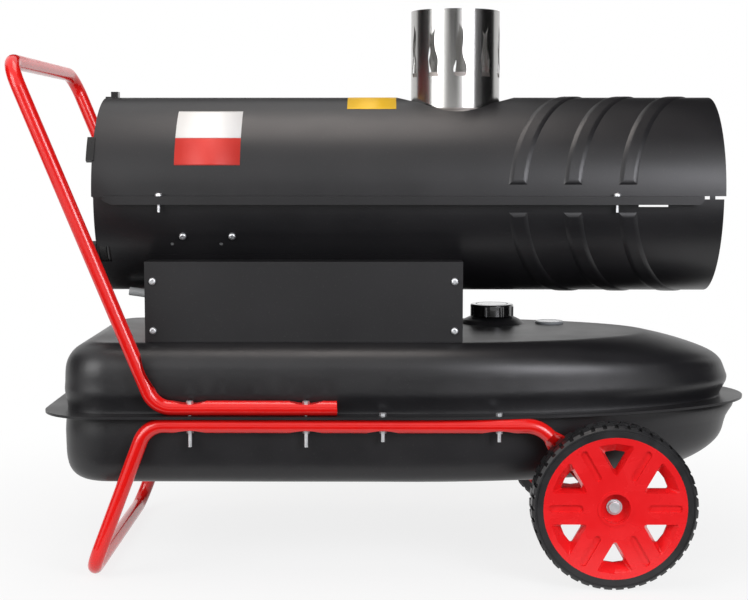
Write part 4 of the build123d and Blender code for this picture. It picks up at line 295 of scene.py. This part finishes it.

# %% [markdown]
# ## Small finishes
#
# A few pieces have a finish of their own: the gauge's body, painted a light grey that stands in for
# the white glints on its clear ring, its clear polycarbonate lens and the filter's bowl, the glazed
# ceramic of the electrodes and the green board in the box. Only the clear pieces need a recipe of
# their own, because light goes through them.

# %% Small finishes
def clear_lens():
    material, tree, shader, place = new_material("clear_polycarbonate")
    haze = add(tree, "ShaderNodeTexNoise", {"Vector": place, "Scale": per_mm(6), "Detail": 3.0})
    rough = add(tree, "ShaderNodeMapRange", {"Value": haze.outputs["Fac"], "From Min": NOISE_LOW,
                                             "From Max": NOISE_HIGH, "To Min": 0.04,
                                             "To Max": 0.12})
    tree.links.new(rough.outputs["Result"], shader.inputs["Roughness"])
    shader.inputs["Base Color"].default_value = colour("#eef2f4")
    shader.inputs["Transmission Weight"].default_value = 0.9
    shader.inputs["IOR"].default_value = 1.58
    return material


# The gauge body's light grey is a painted glint: it stands in for the white glints on the gauge's
# clear ring.
dress(moulded("grey_acetal_painted_glints", "#8f9395", "#a2a6a8", 0.30), "gauge_body")
dress(clear_lens(), "gauge_lens", "fuel_filter")
dress(moulded("glazed_ceramic", "#dcd8cf", "#e8e4dc", 0.18), "electrodes")
dress(moulded("green_circuit_board", "#1e5a35", "#2a6b40", 0.35), "control_board")

# %% [markdown]
# ## Vinyl
#
# Two plain labels lie on the barrel's near side: one with a white half over a red half, and a
# yellow one near the crown. Each is vinyl film, pressed on by hand, which leaves a slow ripple and
# an edge, so it catches the light a little differently from the coat it lies on. A patch of colour
# in the coat would have neither, so each label is a sheet a quarter of a millimetre thick, wrapped
# on the barrel between two heights.

# %% Vinyl film
def vinyl(name, low, high):
    material, tree, shader, place = new_material(name)
    fade = add(tree, "ShaderNodeTexNoise", {"Vector": place, "Scale": per_mm(30), "Detail": 3.0})
    tone = add(tree, "ShaderNodeMix", {"Factor": fade.outputs["Fac"], COLOUR_A: colour(low),
                                       COLOUR_B: colour(high)}, data_type="RGBA")
    rough = add(tree, "ShaderNodeMapRange", {"Value": fade.outputs["Fac"], "From Min": NOISE_LOW,
                                             "From Max": NOISE_HIGH, "To Min": 0.42,
                                             "To Max": 0.52})
    ripple = add(tree, "ShaderNodeTexNoise", {"Vector": place, "Scale": per_mm(18), "Detail": 1.0})
    bump = add(tree, "ShaderNodeBump", {"Height": ripple.outputs["Fac"], "Strength": 0.2,
                                        "Distance": 0.0004})
    feed(tree, shader, tone, rough, bump)
    print(name)
    return material


# %% [markdown]
# ## Sheets on the barrel
#
# A sheet on a round barrel is a strip of the same curve. The function walks down the near side
# from one height to another, sets two points on the barrel and two a little outside it at each
# step, and closes the strip all round, so the sheet is a solid with an edge. The same function
# makes the dark tail of the catch that shows behind the slot at the inlet end.

# %% Sheets on the barrel
BARREL_R = 0.131
BARREL_Z = 0.486
SHEET_T = 0.00025
SHEET_STEPS = 16

LABEL_X = (-0.2805, -0.1955)
LABEL_TOP = 0.5965
LABEL_SPLIT = 0.5615
LABEL_FOOT = 0.5265
CROWN_X = (-0.0585, 0.0065)
CROWN_TOP = 0.6168
CROWN_FOOT = 0.600
CATCH_R = 0.1288
CATCH_X = (-0.3730, -0.3655)
CATCH_TOP = 0.426
CATCH_FOOT = 0.395


def wrapped_sheet(name, ends, top, bottom, material, radius=BARREL_R):
    """Sheet about the barrel's axis, on the near side, between two X values and two heights."""
    first = math.asin((top - BARREL_Z) / radius)
    last = math.asin((bottom - BARREL_Z) / radius)
    corners = []
    for k in range(SHEET_STEPS + 1):
        turn = first + (last - first) * k / SHEET_STEPS
        for r in (radius, radius + SHEET_T):
            corners += [(x, -r * math.cos(turn), BARREL_Z + r * math.sin(turn)) for x in ends]
    end = 4 * SHEET_STEPS
    faces = [(0, 1, 3, 2), (end, end + 2, end + 3, end + 1)]
    for k in range(0, end, 4):
        faces += [(k + 2, k + 3, k + 7, k + 6), (k, k + 4, k + 5, k + 1),
                  (k, k + 2, k + 6, k + 4), (k + 1, k + 5, k + 7, k + 3)]
    mesh = bpy.data.meshes.new(name)
    mesh.from_pydata(corners, [], faces)
    mesh.materials.append(material)
    # After the two end faces come four for each step, and only the first two of those are curved.
    for face in mesh.polygons:
        face.use_smooth = face.index > 1 and (face.index - 2) % 4 < 2
    sheet = bpy.data.objects.new(name, mesh)
    bpy.context.scene.collection.objects.link(sheet)
    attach(sheet, "base")
    print(name, len(faces), "faces")


wrapped_sheet("label_upper_half", LABEL_X, LABEL_TOP, LABEL_SPLIT,
              vinyl("white_vinyl", "#e9e8e4", "#f3f2ef"))
wrapped_sheet("label_lower_half", LABEL_X, LABEL_SPLIT, LABEL_FOOT,
              vinyl("red_vinyl", "#c8332c", "#d33d33"))
wrapped_sheet("label_crown", CROWN_X, CROWN_TOP, CROWN_FOOT,
              vinyl("yellow_vinyl", "#e3b21c", "#ecbe2c"))
wrapped_sheet("catch_tail", CATCH_X, CATCH_TOP, CATCH_FOOT, black_coat, CATCH_R)

# %% [markdown]
# ## Camera
#
# The catalogue view looks along the heater's width from two metres away, a little from above.
# Position, pitch, yaw and focal length were fitted to the edges of the barrel, tank and wheels,
# so the render can be laid over the photograph. The sensor stays at 36 mm and there is no shift.

# %% Camera
FOCAL_PX = 1518.3
FRAME_W = 748
SENSOR = 36.0
CAMERA_PLACE = (-0.00475, -2.0874, 0.5471)
PITCH = -0.099
YAW = -0.009

lens = bpy.data.cameras.new("catalogue_camera")
lens.sensor_width = SENSOR
lens.lens = FOCAL_PX / FRAME_W * SENSOR
camera = bpy.data.objects.new("catalogue_camera", lens)
camera.location = CAMERA_PLACE
camera.rotation_euler = (math.pi / 2 + PITCH, 0.0, -YAW)
bpy.context.scene.collection.objects.link(camera)
bpy.context.scene.camera = camera
print("lens", round(lens.lens, 2), "mm")

# %% [markdown]
# ## Floor
#
# The heater stands on white paper. Where the camera, a mirror or a lens looks at the paper far
# from the heater it is plain white, as the backdrop is, and near the heater more of the paper's
# own shading shows, so the contact shadow stays. A light path node tells those rays from the
# rest, so the paper still lights the heater as real paper would.

# %% Floor
FLOOR_HALF = 8.0
FLOOR_Z = -0.001
FADE_START = 0.25
FADE_END = 1.1
NEAR_WHITE = 0.82


def white_to_the_eye(tree, strength):
    """One for camera, glossy and transmission rays, scaled by a strength."""
    ray = add(tree, "ShaderNodeLightPath").outputs
    first = add(tree, "ShaderNodeMath", {0: ray["Is Camera Ray"], 1: ray["Is Glossy Ray"]},
                operation="ADD")
    every = add(tree, "ShaderNodeMath", {0: first.outputs[0], 1: ray["Is Transmission Ray"]},
                operation="ADD", use_clamp=True)
    scaled = add(tree, "ShaderNodeMath", {0: every.outputs[0], 1: strength}, operation="MULTIPLY")
    return scaled.outputs[0]


def stage_floor():
    corners = [(x * FLOOR_HALF, y * FLOOR_HALF, FLOOR_Z)
               for x, y in ((-1, -1), (1, -1), (1, 1), (-1, 1))]
    mesh = bpy.data.meshes.new("studio_floor")
    mesh.from_pydata(corners, [], [(0, 1, 2, 3)])
    floor = bpy.data.objects.new("studio_floor", mesh)
    bpy.context.scene.collection.objects.link(floor)
    material, tree, shader, place = new_material("white_studio_paper")
    fibre = add(tree, "ShaderNodeTexNoise", {"Vector": place, "Scale": per_mm(3), "Detail": 3.0})
    tone = add(tree, "ShaderNodeMix", {"Factor": fibre.outputs["Fac"], COLOUR_A: colour("#dcdcdc"),
                                       COLOUR_B: colour("#e4e4e4")}, data_type="RGBA")
    tree.links.new(tone.outputs[COLOUR_OUT], shader.inputs["Base Color"])
    shader.inputs["Roughness"].default_value = 0.9
    away = add(tree, "ShaderNodeVectorMath", {0: place}, operation="LENGTH")
    fade = add(tree, "ShaderNodeMapRange", {"Value": away.outputs["Value"],
                                            "From Min": FADE_START, "From Max": FADE_END,
                                            "To Min": NEAR_WHITE, "To Max": 1.0},
               interpolation_type="SMOOTHSTEP")
    white = add(tree, "ShaderNodeEmission", {"Color": colour("#ffffff"), "Strength": 1.0})
    seen = white_to_the_eye(tree, fade.outputs["Result"])
    both = add(tree, "ShaderNodeMixShader", {0: seen, 1: shader.outputs["BSDF"],
                                             2: white.outputs["Emission"]})
    tree.links.new(both.outputs[0], tree.nodes["Material Output"].inputs["Surface"])
    mesh.materials.append(material)
    print("floor", 2 * FLOOR_HALF, "m across")


stage_floor()

# %% [markdown]
# ## World
#
# The room round the paper is treated like the paper: white to the eye and to reflections, and a
# calmer fill for everything else, so that the lamps and not the room shape the heater.

# %% World
FILL_STRENGTH = 0.5

world = bpy.data.worlds.new("white_studio")
world.use_nodes = True
sky = world.node_tree
sky.nodes.clear()
fill = add(sky, "ShaderNodeBackground", {"Color": colour("#ffffff"), "Strength": FILL_STRENGTH})
white = add(sky, "ShaderNodeBackground", {"Color": colour("#ffffff"), "Strength": 1.0})
both = add(sky, "ShaderNodeMixShader", {0: white_to_the_eye(sky, 1.0), 1: fill.outputs[0],
                                        2: white.outputs[0]})
add(sky, "ShaderNodeOutputWorld", {"Surface": both.outputs[0]})
bpy.context.scene.world = world
print("world fill", FILL_STRENGTH)

# %% [markdown]
# ## Lamps
#
# A satin barrel shows its surroundings as soft bands, so the picture is made by what stands round
# the heater. One large box hangs just left of the middle, which gives the broad warm band on the
# barrel's crown. A box at the front right draws the cool band above the seam at the outlet end,
# and one at the front left lights the tank's rear end. All three are soft boxes, as in a studio,
# because a rectangle of light gives a band with a soft edge where a bare lamp gives a spot.

# %% Lamps
def soft_box(name, place, target, size, watts, tint="#ffffff"):
    """Rectangular lamp that faces a point."""
    data = bpy.data.lights.new(name, "AREA")
    data.shape = "RECTANGLE"
    data.size, data.size_y = size
    data.energy = watts
    data.color = colour(tint)[:3]
    lamp = bpy.data.objects.new(name, data)
    lamp.location = place
    lamp.rotation_euler = (Vector(target) - Vector(place)).to_track_quat("-Z", "Y").to_euler()
    bpy.context.scene.collection.objects.link(lamp)
    print(name, watts, "W")


def round_heater(degrees, distance, height):
    """A place round the heater, its angle counted from the camera's side towards the outlet."""
    turn = math.radians(degrees)
    return (distance * math.sin(turn), -distance * math.cos(turn), height)


soft_box("overhead_box", (-0.14, -0.15, 2.1), target=(-0.14, 0.0, 0.4), size=(0.75, 1.1),
         watts=9.5, tint="#fff4ee")
soft_box("front_right_box", round_heater(34, 2.2, 1.1), target=(0.25, 0.0, 0.45),
         size=(0.9, 1.0), watts=29.0, tint="#f8f8ff")
soft_box("front_left_box", round_heater(-48, 2.1, 1.0), target=(-0.3, 0.0, 0.35),
         size=(1.1, 1.3), watts=23.0)

# %% [markdown]
# ## Flags
#
# A polished flue shows its surroundings sharply, and in a white room it would vanish. A studio
# hangs black cloth where a dark stripe is wanted, and so does this one. Two flags stand beyond
# the barrel's ends, two more at the height of the flue, one in front and one high at the back, all
# bent round the heater, and two lie flat, on the floor in front and overhead towards the outlet.
# They don't show to the camera and they cast no shadow, so only reflections and the light that
# comes off the paper and the room change.

# %% Flags
FLAG_STEPS = 6


def flag_material():
    material, tree, shader, place = new_material("black_flag_cloth")
    weave = add(tree, "ShaderNodeTexNoise", {"Vector": place, "Scale": per_mm(2), "Detail": 2.0})
    tone = add(tree, "ShaderNodeMix", {"Factor": weave.outputs["Fac"], COLOUR_A: colour("#121212"),
                                       COLOUR_B: colour("#1c1c1c")}, data_type="RGBA")
    tree.links.new(tone.outputs[COLOUR_OUT], shader.inputs["Base Color"])
    shader.inputs["Roughness"].default_value = 1.0
    shader.inputs["Specular IOR Level"].default_value = 0.0
    return material


cloth = flag_material()


def flag(name, corners):
    """Strip of black cloth through pairs of corners, unseen by the camera."""
    mesh = bpy.data.meshes.new(name)
    faces = [(k, k + 1, k + 3, k + 2) for k in range(0, len(corners) - 2, 2)]
    mesh.from_pydata(corners, [], faces)
    mesh.materials.append(cloth)
    card = bpy.data.objects.new(name, mesh)
    card.visible_camera = False
    card.visible_shadow = False
    bpy.context.scene.collection.objects.link(card)
    print(name, len(faces), "faces")


def curved_flag(name, angles, distance, heights):
    """Upright flag bent round the heater between two angles in degrees."""
    start, stop = angles
    corners = []
    for k in range(FLAG_STEPS + 1):
        turn = start + (stop - start) * k / FLAG_STEPS
        corners += [round_heater(turn, distance, height) for height in heights]
    flag(name, corners)


def flat_flag(name, xs, ys, heights):
    """Flat flag between two X values, each with a height of its own, and two Y values."""
    flag(name, [(x, y, z) for x, z in zip(xs, heights) for y in ys])


curved_flag("flag_right", angles=(68, 104), distance=1.9, heights=(0.0, 1.9))
curved_flag("flag_left", angles=(-104, -74), distance=1.9, heights=(0.0, 1.6))
curved_flag("flag_camera", angles=(-22, 9), distance=2.6, heights=(0.7, 1.15))
curved_flag("flag_flue_right", angles=(50, 114), distance=2.0, heights=(0.5, 1.2))
curved_flag("flag_flue_left", angles=(-119, -69), distance=2.0, heights=(0.5, 1.2))
curved_flag("flag_back", angles=(150, 215), distance=2.6, heights=(1.35, 2.6))
flat_flag("flag_floor", xs=(-1.5, 1.5), ys=(-2.6, -0.42), heights=(0.004, 0.004))
flat_flag("flag_ceiling", xs=(0.32, 2.4), ys=(-1.0, 2.4), heights=(2.0, 1.8))

# %% [markdown]
# ## View
#
# The Standard view shows each colour as it was chosen, where a film curve would turn white paper
# grey.

# %% View
bpy.context.scene.view_settings.view_transform = "Standard"
